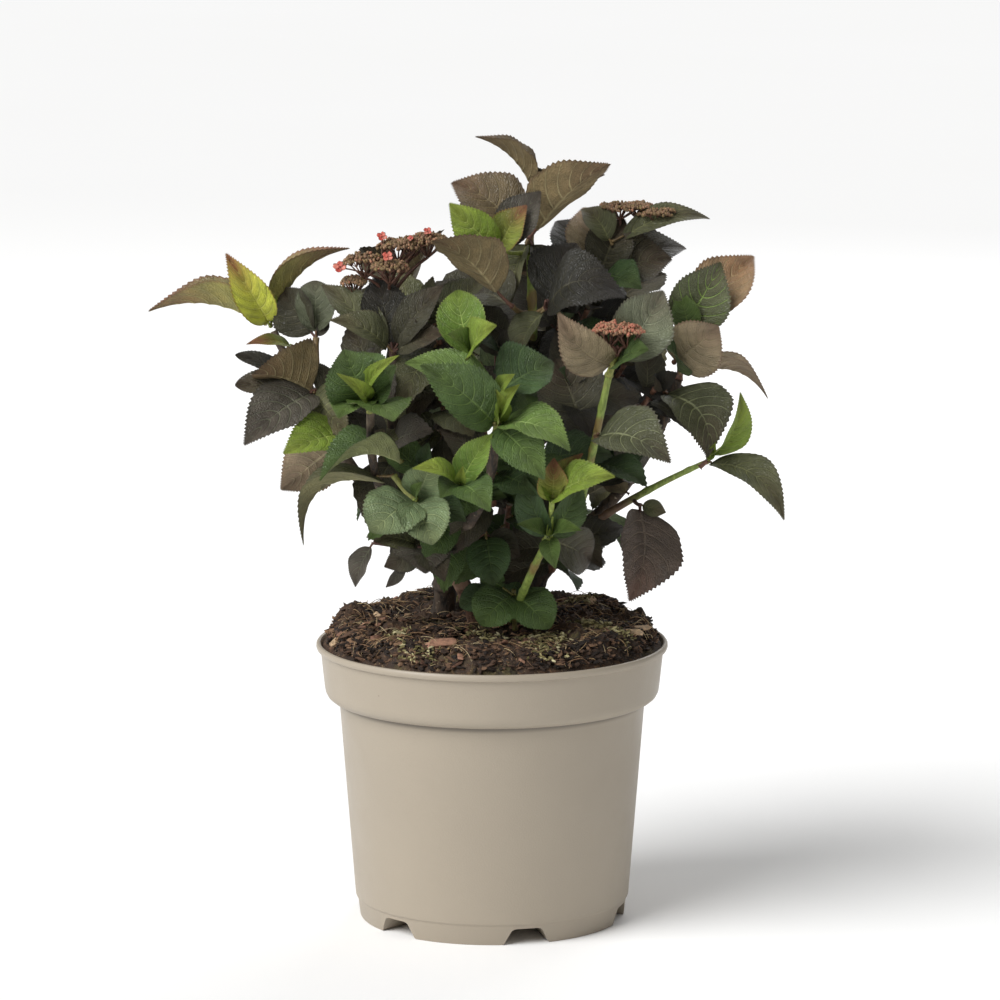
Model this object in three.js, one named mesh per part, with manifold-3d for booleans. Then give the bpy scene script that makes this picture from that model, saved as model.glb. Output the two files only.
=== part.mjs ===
// A young hydrangea shrub, standing in the round plastic pot it was raised in.
// Millimetres, +Z up. The origin is the middle of the pot's flat underside, at ground level.
// The front of the plant looks towards -Y, and its left side, seen from there, is towards -X.
// The pot and the root ball come first, then the woody stems and boughs, then the masses of
// leaves and the flower heads. Every neighbour keeps a gap of 0.3 mm or a little more.

import * as THREE from 'three';
import { mergeVertices } from 'three/addons/utils/BufferGeometryUtils.js';
import Module from 'manifold-3d';

const wasm = await Module();
wasm.setup();

// ---- driving dimensions ----------------------------------------------------------------

const GAP = 0.35;                  // clearance between pieces that touch on the real plant

const POT_HEIGHT = 183;
const POT_WALL = 1.8;
const POT_FLOOR = 2.2;
const RIM_RADIUS = 115;            // outside of the rolled lip
const RIM_DEPTH = 4.5;
const COLLAR_RADIUS_TOP = 112;     // the collar is the stepped-out band under the lip
const COLLAR_RADIUS_LOW = 109.2;
const COLLAR_FOOT = 145.5;         // height of the collar's lower edge
const COLLAR_CORNER = 8;           // its rounded lower corner
const BODY_RADIUS_TOP = 100.4;
const BODY_RADIUS_LOW = 89.8;
const FOOT_RADIUS_TOP = 88.4;      // the foot ring is set in a little under the wall
const FOOT_RADIUS_LOW = 86.8;
const FOOT_HEIGHT = 13;
const POT_SEGMENTS = 28;

const NOTCH_COUNT = 6;             // drainage channels round the foot
const NOTCH_FIRST = -75;           // degrees from +X, so that one lies just right of the front
const NOTCH_HEIGHT = 10.5;
const NOTCH_WIDTH_LOW = 29;
const NOTCH_WIDTH_TOP = 19;
const NOTCH_DEPTH = 35;

const SOIL_EDGE = 181;             // where the soil meets the wall
const SOIL_MOUND = 195.5;           // usual height of the soil round the stems
const SOIL_LUMP = 3.5;
const SOIL_FOOT = 12.8;            // the root ball stands on the hoods over the channels

const PAD_THICKNESS = 6.5;         // a leaf's solid is this thick at its middle
const PAD_ARCH = 0.06;             // rise of its midrib over its chord, as a share of its length
const PAD_STATIONS = [             // half widths along a leaf: joint, stalk, blade, blade, tip
  { at: 0, width: 0 }, { at: 0.16, width: 0.12 }, { at: 0.45, width: 0.58 },
  { at: 0.78, width: 0.4 }, { at: 1, width: 0 },
];
const SMALL_PAD_STATIONS = [{ at: 0, width: 0 }, { at: 0.5, width: 0.58 }, { at: 1, width: 0 }];
const PAD_RIM = 0.4;               // depth kept at a pad's narrow stations, as a share
const SMALL_LEAF = 28;             // leaves up to this width take the small stations
const EDGE_GROWTH = 6;             // a pad's thin edges keep clear of a neighbour by this many gaps
const HEART_FACES = [              // a larger lump gets more sides round and more rings
  { upTo: 10, sides: 4, rings: 2 }, { upTo: 18, sides: 5, rings: 3 }, { upTo: 99, sides: 6, rings: 4 },
];
const STALK_RADIUS = 2;            // leafy stalks inside a mass
const STALK_SIDES = 4;
const LEAF_BREADTH = 0.58;         // a back leaf's width, as a share of its length
const FIRST_PAIR_RISE = 2;         // degrees that a shoot's lowest leaves rise from square
const PAIR_RISE = 22;              // degrees more for each pair above

const BARK = { color: 0x6d5a48, roughness: 0.9, metalness: 0 };
const GREEN_BARK = { color: 0x6f7a3c, roughness: 0.75, metalness: 0 };
const TONES = {
  pot: { color: 0xb3a896, roughness: 0.5, metalness: 0 },
  soil: { color: 0x3a2a1f, roughness: 1, metalness: 0 },
  dusk: { color: 0x453d38, roughness: 0.6, metalness: 0 },
  bronze: { color: 0x6b5f48, roughness: 0.65, metalness: 0 },
  green: { color: 0x3f6a3a, roughness: 0.6, metalness: 0 },
  lime: { color: 0x7f9e3a, roughness: 0.6, metalness: 0 },
  blossom: { color: 0x7b5546, roughness: 0.9, metalness: 0 },
};

// ---- solids and meshes -----------------------------------------------------------------

const plant = new THREE.Group();

/** A closed solid from a closed three.js geometry, with its faces turned outwards. */
function solidOf(geometry) {
  const bare = geometry.clone();
  bare.deleteAttribute('normal');
  bare.deleteAttribute('uv');
  const merged = mergeVertices(bare, 1e-3);
  const points = merged.attributes.position.array;
  const corner = (i) => new THREE.Vector3().fromArray(points, 3 * i);
  const faces = [];
  let volume = 0;
  for (let i = 0; i < merged.index.count; i += 3) {
    const [a, b, c] = [0, 1, 2].map((k) => merged.index.getX(i + k));
    if (a === b || b === c || c === a) continue;
    faces.push([a, b, c]);
    volume += corner(a).dot(corner(b).cross(corner(c)));
  }
  const triVerts = new Uint32Array(faces.flatMap(([a, b, c]) => (volume > 0 ? [a, b, c] : [a, c, b])));
  return new wasm.Manifold(new wasm.Mesh({
    numProp: 3, vertProperties: new Float32Array(points), triVerts,
  }));
}

/** The largest single body of a solid: what a neighbour cuts loose from it is dropped. */
function mainBody(solid) {
  const bodies = solid.decompose();
  return bodies.reduce((best, body) => (body.volume() > best.volume() ? body : best));
}

function addMesh(name, solid, tone) {
  const mesh = mainBody(solid).getMesh();
  const geometry = new THREE.BufferGeometry();
  geometry.setAttribute('position', new THREE.BufferAttribute(mesh.vertProperties, 3));
  geometry.setIndex(new THREE.BufferAttribute(mesh.triVerts, 1));
  geometry.computeVertexNormals();
  const piece = new THREE.Mesh(geometry, new THREE.MeshStandardMaterial(tone));
  piece.name = name;
  plant.add(piece);
}

/** A turned solid about the Z axis, from a profile of [radius, height] points. */
function turned(profile) {
  const points = profile.map(([radius, height]) => new THREE.Vector2(radius, height));
  return new THREE.LatheGeometry(points, POT_SEGMENTS).rotateX(Math.PI / 2);
}

// ---- pot ---------------------------------------------------------------------------------

/** Outer side of the pot's wall, from the foot to just under the lip, moved in by `inset`. */
function wallProfile(inset) {
  const corner = 0.3 * COLLAR_CORNER;
  return [
    [BODY_RADIUS_LOW - inset, FOOT_HEIGHT],
    [BODY_RADIUS_TOP - inset, COLLAR_FOOT + (inset > 0 ? POT_WALL : 0)],
    [COLLAR_RADIUS_LOW - corner - inset, COLLAR_FOOT + (inset > 0 ? POT_WALL : 0)],
    [COLLAR_RADIUS_LOW - inset, COLLAR_FOOT + COLLAR_CORNER],
    [COLLAR_RADIUS_TOP - inset, POT_HEIGHT - RIM_DEPTH],
  ];
}

/** Channel blocks that enter the foot from outside, larger all round by `grow`. */
function channels(grow) {
  const outline = new THREE.Shape([
    new THREE.Vector2(-NOTCH_WIDTH_LOW / 2 - grow, -1),
    new THREE.Vector2(NOTCH_WIDTH_LOW / 2 + grow, -1),
    new THREE.Vector2(NOTCH_WIDTH_TOP / 2 + grow, NOTCH_HEIGHT + grow),
    new THREE.Vector2(-NOTCH_WIDTH_TOP / 2 - grow, NOTCH_HEIGHT + grow),
  ]);
  const inner = BODY_RADIUS_LOW - NOTCH_DEPTH - grow;
  const depth = BODY_RADIUS_LOW + 5 - inner;
  const blocks = [];
  for (let i = 0; i < NOTCH_COUNT; i += 1) {
    const block = new THREE.ExtrudeGeometry(outline, { depth, bevelEnabled: false });
    block.translate(0, 0, inner).rotateX(Math.PI / 2).rotateZ(Math.PI / 2 + Math.PI);
    block.rotateZ(Math.PI / 2 + THREE.MathUtils.degToRad(NOTCH_FIRST + (i * 360) / NOTCH_COUNT));
    blocks.push(solidOf(block));
  }
  return blocks;
}

const potBlank = solidOf(turned([
  [0, 0], [FOOT_RADIUS_LOW, 0], [FOOT_RADIUS_TOP, FOOT_HEIGHT], ...wallProfile(0),
  [RIM_RADIUS, POT_HEIGHT - RIM_DEPTH + 1], [RIM_RADIUS, POT_HEIGHT - 1],
  [RIM_RADIUS - 1.2, POT_HEIGHT], [0, POT_HEIGHT],
]));

const aboveRim = POT_HEIGHT + 5;
let potHollow = solidOf(turned([
  [0, POT_FLOOR], [FOOT_RADIUS_LOW - POT_WALL, POT_FLOOR],
  ...wallProfile(POT_WALL), [COLLAR_RADIUS_TOP - POT_WALL, aboveRim], [0, aboveRim],
]));
let pot = potBlank;
for (const hood of channels(POT_WALL)) potHollow = potHollow.subtract(hood);
pot = pot.subtract(potHollow);
for (const channel of channels(0)) pot = pot.subtract(channel);
addMesh('pot', pot, TONES.pot);

// ---- root ball and soil --------------------------------------------------------------------

/** Height of the soil's surface at x, y: a low mound with a few broad lumps. */
function soilHeight(x, y) {
  const inRim = THREE.MathUtils.smoothstep(COLLAR_RADIUS_TOP - Math.hypot(x, y), 0, 15);
  const lumps = Math.sin(x / 17 + 0.6) * Math.cos(y / 21 - 0.4) + 0.5 * Math.sin((x - y) / 11);
  return THREE.MathUtils.lerp(SOIL_EDGE, SOIL_MOUND, inRim) + inRim * SOIL_LUMP * lumps;
}

const SOIL_RINGS = [99, 80, 44, 0]; // radii at which the mound's surface bends

/** The root ball: it fills the pot's hollow and ends above in the uneven mound. */
function rootBall() {
  const wall = POT_WALL + GAP;
  const ball = turned([
    [0, SOIL_FOOT], ...wallProfile(wall).with(0, [BODY_RADIUS_LOW - wall, SOIL_FOOT]),
    [COLLAR_RADIUS_TOP - wall, SOIL_EDGE],
    ...SOIL_RINGS.map((radius) => [radius, SOIL_EDGE]),
  ]);
  const place = ball.attributes.position;
  for (let i = 0; i < place.count; i += 1) {
    if (place.getZ(i) < SOIL_EDGE - 0.5) continue;
    place.setZ(i, soilHeight(place.getX(i), place.getY(i)));
  }
  return solidOf(ball);
}

addMesh('root_ball_soil', rootBall(), TONES.soil);

// ---- stems and boughs ------------------------------------------------------------------------

// Each limb runs from `from` to `to` and tapers from the first radius to the second. `bow`
// is how far its middle lies from the straight line between them. A stem that stands in the
// soil flares out at its foot.
const STEM_FOOT = 0;               // marks a height that is taken from the soil's surface
const LIMBS = [
  { name: 'stem_left', from: [-33, 34, STEM_FOOT], to: [-44, 0, 262], radii: [8, 5.6], bow: [6, 4, 0] },
  { name: 'stem_front', from: [-8, 12, STEM_FOOT], to: [-33, -38, 247], radii: [6.4, 5], bow: [2, 3, 3] },
  { name: 'stem_back', from: [2, 40, STEM_FOOT], to: [20, 30, 300], radii: [7.6, 5.4], bow: [-4, 2, 0] },
  { name: 'stem_right', from: [20, 26, STEM_FOOT], to: [52, -8, 253], radii: [6.2, 4.8], bow: [-3, 2, 4] },
  { name: 'green_shoot', from: [14, -4, STEM_FOOT], to: [35, -90, 265],
    radii: [3.4, 2.7], bow: [-5, -6, -6], green: true },
  { name: 'bough_left', from: [-44, 0, 262], to: [-110, -43, 348], radii: [4.8, 3.2], bow: [-8, -6, -10] },
  { name: 'bough_far_left', from: [-104, -38, 342], to: [-141, -7, 388],
    radii: [2.9, 2.3], bow: [-4, 6, -2] },
  { name: 'bough_left_head', from: [-44, 0, 262], to: [-63, -50, 376],
    radii: [4.2, 2.8], bow: [-8, -6, -4] },
  { name: 'bough_front_left', from: [-33, -38, 247], to: [-49, -92, 292],
    radii: [3.8, 2.7], bow: [-2, -5, -6] },
  { name: 'bough_green_left', from: [-44, 0, 262], to: [-76, -108, 351],
    radii: [3.6, 2.6], bow: [-10, -8, -14] },
  { name: 'bough_centre', from: [-33, -38, 247], to: [2, -102, 334], radii: [4, 2.8], bow: [8, -10, -4] },
  { name: 'bough_summit', from: [20, 30, 300], to: [24, -18, 446], radii: [5, 3], bow: [4, -4, -6] },
  { name: 'bough_top_right', from: [20, 30, 300], to: [70, 22, 417], radii: [4.4, 3], bow: [4, 6, -6] },
  { name: 'bough_right', from: [52, -8, 253], to: [136, -25, 304], radii: [4.2, 2.4],
    bow: [-2, -2, 2], green: true },
  { name: 'bough_right_crest', from: [52, -8, 253], to: [121, 0, 355],
    radii: [4.4, 2.8], bow: [8, 10, -8] },
  { name: 'bough_right_head', from: [52, -8, 253], to: [74, -82, 370], radii: [3.8, 2.6],
    bow: [-2, -18, -8], green: true },
  { name: 'bough_back_left', from: [2, 38, 240], to: [-58, 76, 380],
    radii: [4.6, 2.8], bow: [-4, 12, -10] },
  { name: 'bough_back_right', from: [20, 30, 300], to: [70, 84, 376], radii: [4.4, 2.8], bow: [6, 10, -8] },
];
const STEM_STEPS = 4;
const STEM_SIDES = 6;
const BOUGH_STEPS = 3;
const BOUGH_SIDES = 5;
const STEM_CROWDING = 1.6;         // a stem's sections stand closer together near the soil
const STEM_SET = 6;                // how far a stem's foot reaches under the usual soil
const ROOT_FLARE = 0.7;            // extra radius at the soil, as a share of the stem's own
const FLARE_REACH = 0.16;          // share of the stem's length over which the flare dies away

/** A closed tapering limb along a bowed curve, larger all round by `grow`. */
function limbSolid({ from, to, radii, bow = [0, 0, 0], inSoil, stalk }, grow) {
  const start = new THREE.Vector3(...from);
  const end = new THREE.Vector3(...to);
  const middle = start.clone().lerp(end, 0.5).addScaledVector(new THREE.Vector3(...bow), 2);
  const curve = new THREE.QuadraticBezierCurve3(start, middle, end);
  let [sides, steps] = inSoil ? [STEM_SIDES, STEM_STEPS] : [BOUGH_SIDES, BOUGH_STEPS];
  if (stalk) [sides, steps] = [STALK_SIDES, 1];
  const limb = new THREE.CylinderGeometry(1, 1, 1, sides, steps);
  const across = new THREE.Vector3(0, 1, 0).cross(end.clone().sub(start)).normalize();
  const place = limb.attributes.position;
  for (let i = 0; i < place.count; i += 1) {
    const along = place.getY(i) + 0.5;
    const t = inSoil ? along ** STEM_CROWDING : along;
    const tangent = curve.getTangent(t);
    const side = across.clone().addScaledVector(tangent, -across.dot(tangent)).normalize();
    const lift = tangent.clone().cross(side);
    const flare = inSoil ? ROOT_FLARE * radii[0] * Math.exp(-t / FLARE_REACH) : 0;
    const radius = THREE.MathUtils.lerp(radii[0], radii[1], t) + flare + grow;
    const point = curve.getPoint(t);
    point.addScaledVector(side, radius * place.getX(i)).addScaledVector(lift, radius * place.getZ(i));
    if (along === 0) point.addScaledVector(tangent, -grow);
    if (along === 1) point.addScaledVector(tangent, grow);
    place.setXYZ(i, point.x, point.y, point.z);
  }
  return solidOf(limb);
}

/** A short straight stalk inside a mass or under a flower head. */
function stalkSolid(from, to, grow) {
  return limbSolid({ from, to, radii: [STALK_RADIUS, STALK_RADIUS], stalk: true }, grow);
}

const placed = [];                 // every limb and mass so far, as { box, solid } with its gap

/** Cut a new piece clear of the soil and of what is placed already, and add it. */
function addPiece(name, build, tone) {
  let solid = build(0);
  const box = solid.boundingBox();
  const apart = (other) => [0, 1, 2].some((k) => box.min[k] > other.max[k] || box.max[k] < other.min[k]);
  for (const other of placed) {
    if (!apart(other.box)) solid = solid.subtract(other.solid);
  }
  addMesh(name, solid, tone);
  const grown = build(GAP);
  placed.push({ box: grown.boundingBox(), solid: grown });
}

const soilGrown = rootBall().translate([0, 0, GAP]);
placed.push({ box: soilGrown.boundingBox(), solid: soilGrown });

for (const limb of LIMBS) {
  const inSoil = limb.from[2] === STEM_FOOT;
  const foot = inSoil ? soilHeight(limb.from[0], limb.from[1]) - STEM_SET : limb.from[2];
  const shape = { ...limb, from: [limb.from[0], limb.from[1], foot], inSoil };
  addPiece(limb.name, (grow) => limbSolid(shape, grow), limb.green ? GREEN_BARK : BARK);
}

// ---- masses of leaves ----------------------------------------------------------------------

/** A leaf's solid: ridged above and flat below, bowed from its joint to its tip. */
function leafPad(joint, [across, back, up, width, rise = PAD_ARCH, ownFace], massFace, grow) {
  const reach = new THREE.Vector3(across, back, up);
  const length = reach.length();
  const along = reach.clone().normalize();
  const face = ownFace ? new THREE.Vector3(...ownFace) : massFace;
  const normal = face.clone().addScaledVector(along, -face.dot(along)).normalize();
  const side = along.clone().cross(normal);
  const stations = width > SMALL_LEAF ? PAD_STATIONS : SMALL_PAD_STATIONS;
  const last = stations.length - 1;
  const pad = new THREE.CylinderGeometry(1, 1, 2, 3, last);
  const place = pad.attributes.position;
  for (let i = 0; i < place.count; i += 1) {
    const { at: s, width: share } = stations[Math.round(((place.getY(i) + 1) / 2) * last)];
    const halfDepth = share > 0 ? (PAD_THICKNESS / 2) * (PAD_RIM + share) : 0;
    const point = joint.clone().addScaledVector(along, s * length + (2 * s - 1) * grow);
    point.addScaledVector(normal, rise * length * 4 * s * (1 - s));
    point.addScaledVector(side, (share * width + EDGE_GROWTH * grow) * place.getX(i));
    point.addScaledVector(normal, (halfDepth + 2 * grow) * place.getZ(i));
    place.setXYZ(i, point.x, point.y, point.z);
  }
  return solidOf(pad);
}

/** The uneven lump where a shoot's leaves crowd together. */
function heart(joint, radius, grow) {
  const { sides, rings } = HEART_FACES.find(({ upTo }) => radius <= upTo);
  const lump = new THREE.SphereGeometry(1, sides, rings);
  const place = lump.attributes.position;
  for (let i = 0; i < place.count; i += 1) {
    const [x, y, z] = [place.getX(i), place.getY(i), place.getZ(i)];
    const uneven = 1 + 0.16 * Math.sin(3 * x + joint.x) + 0.14 * Math.cos(4 * y - 2 * z + joint.z);
    const size = radius * uneven + grow;
    place.setXYZ(i, joint.x + size * x, joint.y + size * y, joint.z + size * z);
  }
  return solidOf(lump);
}

/** One mass: the leaf pads of its shoots, the lumps at their joints and the stalk between. */
function massSolid({ shoots, face, heartRadius = 6 }, grow) {
  const facing = new THREE.Vector3(...face).normalize();
  let mass = null;
  const join = (solid) => { mass = mass ? mass.add(solid) : solid; };
  shoots.forEach(({ at, leaves }, i) => {
    const joint = new THREE.Vector3(...at);
    join(heart(joint, heartRadius, grow));
    leaves.forEach((leaf) => join(leafPad(joint, leaf, facing, grow)));
    if (i > 0) join(stalkSolid(shoots[i - 1].at, at, grow));
  });
  return mass;
}

/** A shoot whose leaf pairs stand crosswise round an axis that leans outwards by `lean`. */
function rosette(at, turn, lengths, lean = 0.7) {
  const outward = new THREE.Vector3(at[0], at[1], 0).normalize();
  const axis = outward.multiplyScalar(lean).add(new THREE.Vector3(0, 0, 1)).normalize();
  const toAxis = new THREE.Quaternion().setFromUnitVectors(new THREE.Vector3(0, 0, 1), axis);
  const leaves = [];
  lengths.forEach((length, pair) => {
    const rise = THREE.MathUtils.degToRad(FIRST_PAIR_RISE + PAIR_RISE * pair);
    for (const opposite of [0, 180]) {
      const bearing = THREE.MathUtils.degToRad(turn + 90 * pair + opposite);
      const reach = new THREE.Vector3(
        length * Math.cos(rise) * Math.cos(bearing),
        length * Math.cos(rise) * Math.sin(bearing),
        length * Math.sin(rise),
      ).applyQuaternion(toAxis);
      leaves.push([reach.x, reach.y, reach.z, LEAF_BREADTH * length]);
    }
  });
  return { at, leaves };
}

const FRONT = [0, -0.75, 0.66];
const LEFT_FRONT = [-0.4, -0.65, 0.65];
const RIGHT_FRONT = [0.4, -0.65, 0.65];
const UP = [0, 0, 1];

// A leaf is its tip's reach from the joint, across, back and up, and its width. Two more values
// may follow: how far its midrib bows over its chord, and the way its upper side faces.
const MASSES = [
  { name: 'leaves_summit', tone: 'bronze', face: FRONT, shoots: [
    { at: [13, -60, 411], leaves: [[-50, -38, 47, 60], [-25, 42, 2, 40]] },
    { at: [24, -20, 450], leaves: [[50, -40, 54, 54], [50, 40, 35, 24], [-50, 24, 34, 42],
      [-53, -21, 31, 38], [-3, -35, 30, 26]] },
    { at: [28, -20, 480], leaves: [[-40, 0, 36, 38, 0.04]] },
  ] },
  { name: 'leaves_far_left', tone: 'bronze', face: FRONT, shoots: [
    { at: [-143, -5, 391], leaves: [[-81, 0, 11, 30, 0.34], [-25, -27, 49, 30],
      [53, 0, 53, 32, 0.3, UP], [-11, -31, -4, 18]] },
  ] },
  { name: 'leaves_left', tone: 'dusk', face: LEFT_FRONT, shoots: [
    { at: [-113, -25, 386], leaves: [[2, 46, 38, 44], [-24, 37, 27, 36]] },
    { at: [-114, -45, 354], leaves: [[-35, 50, 20, 50], [-48, -32, 14, 26], [-50, -4, 26, 20],
      [-41, -50, -25, 44, -0.08], [23, -31, -24, 28]] },
  ] },
  { name: 'leaves_left_low', tone: 'lime', face: LEFT_FRONT, shoots: [
    { at: [-89, -60, 330], leaves: [[-42, -41, -2, 42], [-46, 0, -39, 44]] },
  ] },
  { name: 'leaves_left_drop', tone: 'bronze', face: LEFT_FRONT, shoots: [
    { at: [-62, -84, 306], leaves: [[-46, -30, 3, 40, 0.12], [-56, 14, -50, 34, 0.26, UP]] },
  ] },
  { name: 'leaves_far_right', tone: 'green', face: RIGHT_FRONT, shoots: [
    { at: [139, -25, 305], leaves: [[20, -18, 49, 28], [49, -37, -32, 34, 0.12]] },
  ] },
  { name: 'leaves_right_crest', tone: 'bronze', face: RIGHT_FRONT, shoots: [
    { at: [122, 0, 359], leaves: [[58, 0, -18, 32, 0.3, UP], [20, -30, -52, 54, 0.16],
      [-17, -34, 27, 34]] },
    { at: [129, 10, 384], leaves: [[42, 44, 50, 38], [14, 0, 50, 56], [10, -42, 13, 40]] },
  ] },
  { name: 'leaves_top_right', tone: 'dusk', face: FRONT, heartRadius: 14, shoots: [
    { at: [70, 20, 421], leaves: [[-36, -49, -10, 50], [-28, 37, 33, 30], [25, -49, -4, 36],
      [47, 0, 11, 40], [-6, 37, 37, 36], [70, 25, 38, 22, 0.12]] },
  ] },
  { name: 'leaves_left_head', tone: 'dusk', face: FRONT, heartRadius: 12, shoots: [
    { at: [-63, -55, 381], leaves: [[34, 32, 42, 40], [-46, 40, 41, 34], [-42, -22, 31, 32],
      [-12, 24, 48, 44]] },
  ] },
  { name: 'leaves_right_head', tone: 'bronze', face: FRONT, shoots: [
    { at: [76, -85, 376], leaves: [[36, 34, 48, 40], [-32, -37, 40, 44], [24, -23, 20, 30]] },
  ] },
  { name: 'leaves_green_left', tone: 'green', face: FRONT, shoots: [
    { at: [-78, -115, 356], leaves: [[-20, -33, 29, 34], [-6, 39, 29, 38], [21, -22, 38, 16],
      [26, -38, -1, 38], [19, 27, 9, 30]] },
  ] },
  { name: 'leaves_lit_pair', tone: 'lime', face: FRONT, shoots: [
    { at: [-13, -92, 384], leaves: [[-9, 32, 39, 34], [16, -29, 23, 34]] },
  ] },
  { name: 'leaves_centre', tone: 'green', face: FRONT, heartRadius: 12, shoots: [
    { at: [3, -110, 342], leaves: [[38, 51, 36, 46], [-57, -30, 40, 48], [14, -26, 30, 16],
      [46, -27, -12, 36], [32, -29, -31, 30]] },
  ] },
  { name: 'leaves_front_left', tone: 'green', face: FRONT, heartRadius: 12, shoots: [
    { at: [-48, -100, 293], leaves: [[-27, -34, -14, 44], [6, -34, 2, 32], [-1, -30, -18, 34],
      [23, -28, -15, 36]] },
  ] },
  { name: 'leaves_low_left', tone: 'dusk', face: FRONT, heartRadius: 12, shoots: [
    { at: [-44, -58, 256], leaves: [[-22, 0, -28, 14], [2, -34, -16, 40], [26, -30, -12, 34]] },
    { at: [-76, -62, 259], leaves: [[-12, 0, -31, 20]] },
  ] },
  { name: 'leaves_lime_left', tone: 'lime', face: FRONT, heartRadius: 9, shoots: [
    { at: [-20, -118, 306], leaves: [[-29, -24, 14, 16], [21, 0, 33, 30], [17, -30, -9, 32],
      [-12, -19, -5, 20]] },
  ] },
  { name: 'leaves_lime_right', tone: 'lime', face: FRONT, shoots: [
    { at: [36, -97, 268], leaves: [[-15, 34, 32, 38], [19, 32, 28, 36], [-19, -21, 14, 14],
      [4, -18, -14, 14], [20, -24, 11, 14], [28, 30, -26, 32]] },
    { at: [38, -112, 294], leaves: [[38, -33, 22, 32], [19, 0, 31, 18], [-8, -18, 28, 16]] },
  ] },
  { name: 'leaves_right_veined', tone: 'bronze', face: FRONT, heartRadius: 12, shoots: [
    { at: [66, -88, 332], leaves: [[47, -38, -13, 54], [28, 0, -44, 40], [-17, 51, 43, 54]] },
  ] },
  { name: 'leaves_right_drop', tone: 'dusk', face: RIGHT_FRONT, shoots: [
    { at: [104, -42, 279], leaves: [[-12, -37, -51, 48], [9, 0, -5, 16], [-34, -13, 3, 18]] },
  ] },
  { name: 'leaves_foot', tone: 'green', face: FRONT, heartRadius: 12, shoots: [
    { at: [10, -5, 220], leaves: [[-10, -34, -15, 42], [24, -34, -15, 38], [-30, -15, -7, 24],
      [-19, -36, 28, 40]] },
  ] },
  { name: 'leaves_inner_left', tone: 'dusk', face: FRONT, heartRadius: 32, shoots: [
    rosette([-30, -28, 336], 20, [62, 54]),
  ] },
  { name: 'leaves_inner_right', tone: 'dusk', face: FRONT, heartRadius: 30, shoots: [
    rosette([72, -24, 356], 65, [62, 54]),
  ] },
  { name: 'leaves_inner_low', tone: 'dusk', face: FRONT, heartRadius: 24, shoots: [
    rosette([10, -30, 266], 40, [54, 46]),
  ] },
  { name: 'leaves_inner_top', tone: 'dusk', face: FRONT, heartRadius: 24, shoots: [
    rosette([4, 22, 398], 15, [62, 54]),
  ] },
  { name: 'leaves_back_left', tone: 'dusk', face: [-0.3, 0.75, 0.6], heartRadius: 24, shoots: [
    rosette([-58, 80, 388], 62, [62, 58, 42]),
  ] },
  { name: 'leaves_back_right', tone: 'bronze', face: [0.4, 0.7, 0.6], heartRadius: 24, shoots: [
    rosette([72, 88, 384], 30, [70, 62, 46]),
  ] },
  { name: 'leaves_back_middle', tone: 'green', face: [0, 0.75, 0.66], heartRadius: 22, shoots: [
    rosette([-6, 112, 330], 45, [68, 60, 44]),
  ] },
  { name: 'leaves_back_low_left', tone: 'green', face: [-0.5, 0.6, 0.6], heartRadius: 16, shoots: [
    rosette([-48, 68, 284], 62, [56, 50, 36]),
  ] },
  { name: 'leaves_back_low_right', tone: 'dusk', face: [0.5, 0.6, 0.6], heartRadius: 16, shoots: [
    rosette([56, 50, 262], 35, [54, 50, 36]),
  ] },
];

// ---- flower heads ---------------------------------------------------------------------------

// A head is a flat cluster of buds in a few lobes on one stalk. A lobe is its middle and its
// three half sizes.
const HEADS = [
  { name: 'flower_head_left', stalk: [[-64, -44, 392], [-66, -32, 437]],
    lobes: [[[-64, -30, 437], [19, 16, 9]], [[-48, -34, 446], [20, 14, 8]],
      [[-84, -40, 432], [15, 12, 7]]] },
  { name: 'flower_head_right', stalk: [[76, 26, 438], [82, 29, 466]],
    lobes: [[[78, 30, 466], [16, 16, 7]], [[104, 24, 461], [20, 15, 5]]] },
  { name: 'flower_head_small', stalk: [[78, -90, 384], [79, -96, 401]],
    lobes: [[[79, -96, 401], [15, 12, 6]]] },
];

function headSolid({ stalk: [from, to], lobes }, grow) {
  let head = stalkSolid(from, to, grow);
  for (const [[x, y, z], [halfX, halfY, halfZ]] of lobes) {
    const lobe = new THREE.SphereGeometry(1, 6, 3).rotateX(Math.PI / 2);
    lobe.scale(halfX + grow, halfY + grow, halfZ + grow).translate(x, y, z);
    head = head.add(solidOf(lobe));
  }
  return head;
}

for (const head of HEADS) addPiece(head.name, (grow) => headSolid(head, grow), TONES.blossom);
for (const mass of MASSES) addPiece(mass.name, (grow) => massSolid(mass, grow), TONES[mass.tone]);

export default plant;
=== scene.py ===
"""A hydrangea in a moulded plastic nursery pot: pot, soil, stems, leaves and flower heads."""

import math
import random

import bmesh
import bpy
from mathutils import Matrix, Vector, noise


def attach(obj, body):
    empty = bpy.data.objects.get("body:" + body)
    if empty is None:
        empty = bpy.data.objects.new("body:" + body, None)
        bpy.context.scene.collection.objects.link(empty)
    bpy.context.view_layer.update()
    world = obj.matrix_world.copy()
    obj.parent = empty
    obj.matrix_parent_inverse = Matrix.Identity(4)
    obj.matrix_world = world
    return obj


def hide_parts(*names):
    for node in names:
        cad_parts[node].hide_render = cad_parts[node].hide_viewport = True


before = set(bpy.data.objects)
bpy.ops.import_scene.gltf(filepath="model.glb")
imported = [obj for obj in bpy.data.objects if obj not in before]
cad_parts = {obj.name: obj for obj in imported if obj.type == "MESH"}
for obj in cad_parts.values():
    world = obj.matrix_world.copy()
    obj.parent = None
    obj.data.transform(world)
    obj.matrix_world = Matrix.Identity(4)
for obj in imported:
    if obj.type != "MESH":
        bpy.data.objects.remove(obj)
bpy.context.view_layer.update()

# ---- studio ---------------------------------------------------------------------------------
# A plain pale floor under soft daylight lamps, the strongest on the left. The camera stands
# level with the top of the plant, a good three metres off, and looks slightly down.

scene = bpy.context.scene


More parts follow.
